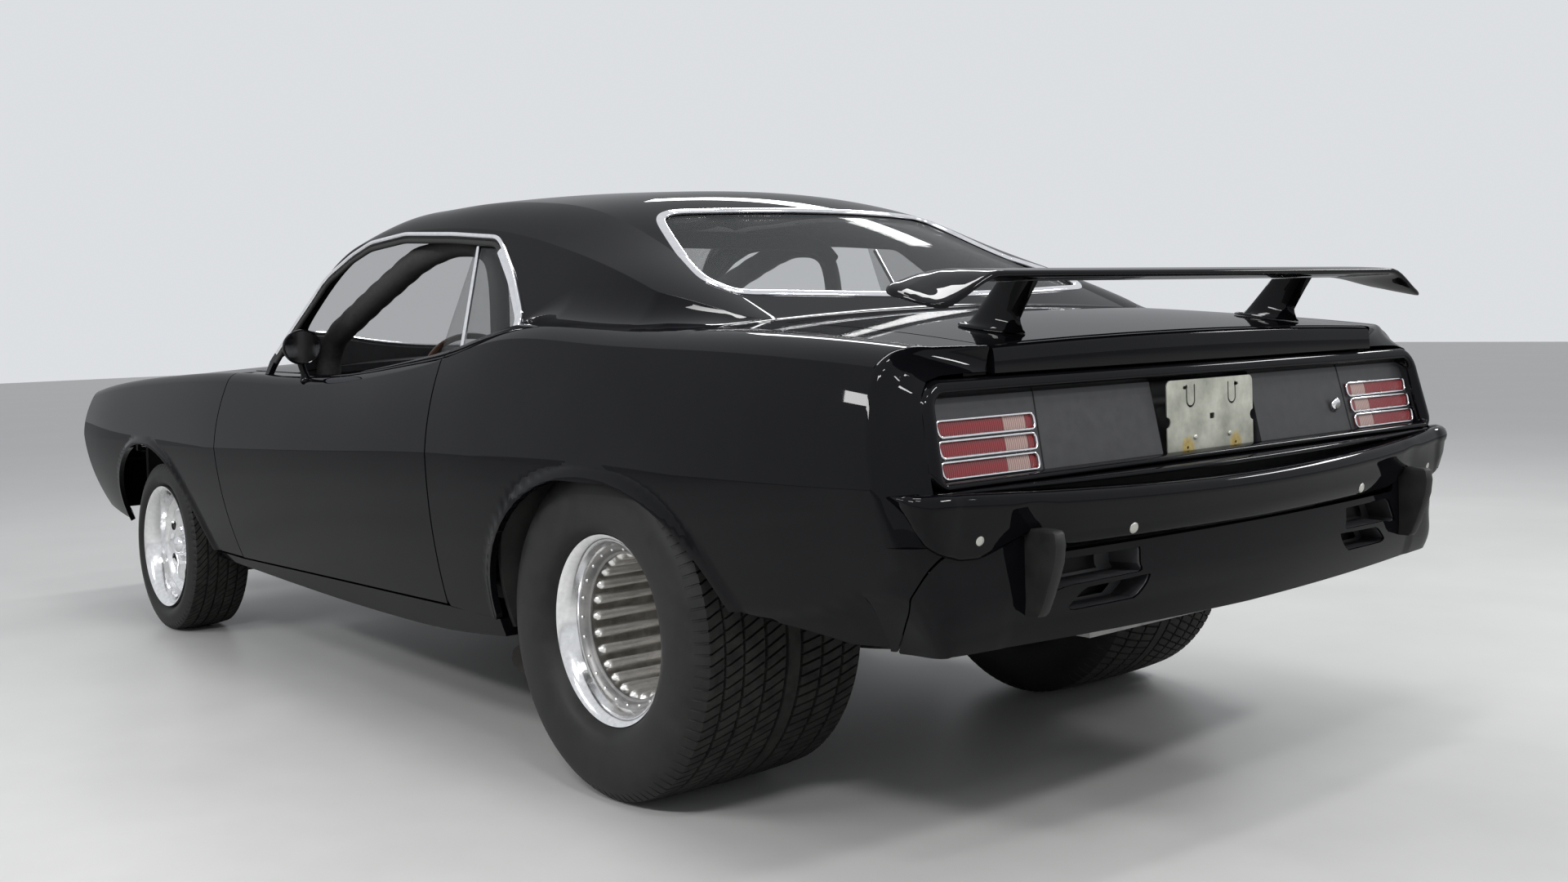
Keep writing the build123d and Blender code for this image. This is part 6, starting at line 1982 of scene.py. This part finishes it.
def make_mirrors():
    """Each door mirror: an oval MIRROR_SHELL with a bright rim and glass on a curved stem."""
    for side, flip in SIDES:
        rows = mirror_rings(MIRROR_SHELL, flip)
        head = closed_form(f"mirror_head_{side}", rows, f"door_{side}", GLOSS, flip=flip < 0, sharp=50)
        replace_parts(head, f"mirror_{side}")
        rows = mirror_rings([(239, 54), (238, 54), (236.5, 53)], flip)
        closed_form(f"mirror_glass_{side}", rows, f"door_{side}", BRIGHT, flip=flip < 0, sharp=20)
        path = soft_line(MIRROR_STEM, 20, 4) * [1, flip, 1]
        radii = np.interp(np.arange(20), [0, 2, 6, 19], [20, 15, 10, 11])
        sweep(f"mirror_stem_{side}", path, [1.0, 0, 0], tube_profile(1, 20), f"door_{side}", GLOSS,
              scale=radii)


make_glass()
make_cowl()
make_side_trim()
make_seats()
make_door_cards()
make_dash()
make_steering()
make_cage()
make_mirrors()
make_lid_lip()
make_wing()
make_fin("left", 1)
make_fin("right", -1)
make_tail()
make_bracket()
make_lamps()
make_bumper()
make_valance()
make_tyres()
make_wheels()


# Studio


def make_studio():
    """A pale floor, a pale surround and soft lights."""
    bpy.ops.mesh.primitive_plane_add(size=60)
    floor = bpy.context.object
    floor.name = "studio_floor"
    m, s, t = base_material("pale_floor", (0.5, 0.5, 0.49), 0.45, specular=0.3)
    n = noise(t, 0.7, 8.0, 0.65)
    t.links.new(ramp(t, n.outputs["Fac"], (0.46, 0.46, 0.45), (0.54, 0.54, 0.53)), s.inputs["Base Color"])
    t.links.new(spread(t, n.outputs["Fac"], 0.3, 0.5), s.inputs["Roughness"])
    floor.data.materials.append(m)
    world = bpy.data.worlds.new("studio")
    bpy.context.scene.world = world
    world.use_nodes = True
    tree = world.node_tree
    back = tree.nodes["Background"]
    back.inputs["Color"].default_value = (0.8, 0.82, 0.85, 1)
    path = tree.nodes.new("ShaderNodeLightPath")
    strength = tree.nodes.new("ShaderNodeMapRange")
    strength.inputs["To Min"].default_value = 0.6
    strength.inputs["To Max"].default_value = 0.9
    seen = path.outputs["Is Camera Ray"]
    for other in ("Is Glossy Ray", "Is Transmission Ray"):
        both = tree.nodes.new("ShaderNodeMath")
        both.operation = "MAXIMUM"
        tree.links.new(seen, both.inputs[0])
        tree.links.new(path.outputs[other], both.inputs[1])
        seen = both.outputs[0]
    tree.links.new(seen, strength.inputs["Value"])
    tree.links.new(strength.outputs["Result"], back.inputs["Strength"])
    for i, (place, size, power) in enumerate(SOFTBOXES):
        data = bpy.data.lights.new(f"softbox_{i}", "AREA")
        data.shape = "RECTANGLE"
        data.size, data.size_y = size
        data.energy = power * LAMP_LEVEL
        light = bpy.data.objects.new(f"softbox_{i}", data)
        light.location = place
        aim = Vector(SOFTBOX_AIM) - Vector(place)
        light.rotation_euler = aim.to_track_quat("-Z", "Y").to_euler()
        bpy.context.scene.collection.objects.link(light)


def make_camera():
    """The camera at the photograph's place and viewing angle."""
    yaw, pitch, roll = CAMERA_TURN
    ahead = Vector((math.cos(yaw) * math.cos(pitch), math.sin(yaw) * math.cos(pitch), -math.sin(pitch)))
    right = ahead.cross(Vector((0, 0, 1))).normalized()
    up = right.cross(ahead)
    right, up = math.cos(roll) * right + math.sin(roll) * up, -math.sin(roll) * right + math.cos(roll) * up
    data = bpy.data.cameras.new("camera")
    data.sensor_width = SENSOR
    data.lens = FOCAL_PIXELS / PHOTO_SIZE[0] * SENSOR
    data.shift_x = -(PHOTO_CENTRE[0] - PHOTO_SIZE[0] / 2) / PHOTO_SIZE[0]
    data.shift_y = (PHOTO_CENTRE[1] - PHOTO_SIZE[1] / 2) / PHOTO_SIZE[0]
    data.clip_end = 200
    camera = bpy.data.objects.new("camera", data)
    basis = Matrix((right, up, -ahead)).transposed().to_4x4()
    basis.translation = Vector(CAMERA_PLACE)
    camera.matrix_world = basis
    bpy.context.scene.collection.objects.link(camera)
    bpy.context.scene.camera = camera


make_studio()
make_camera()
bpy.context.scene.view_settings.view_transform = "Standard"
bpy.context.view_layer.update()
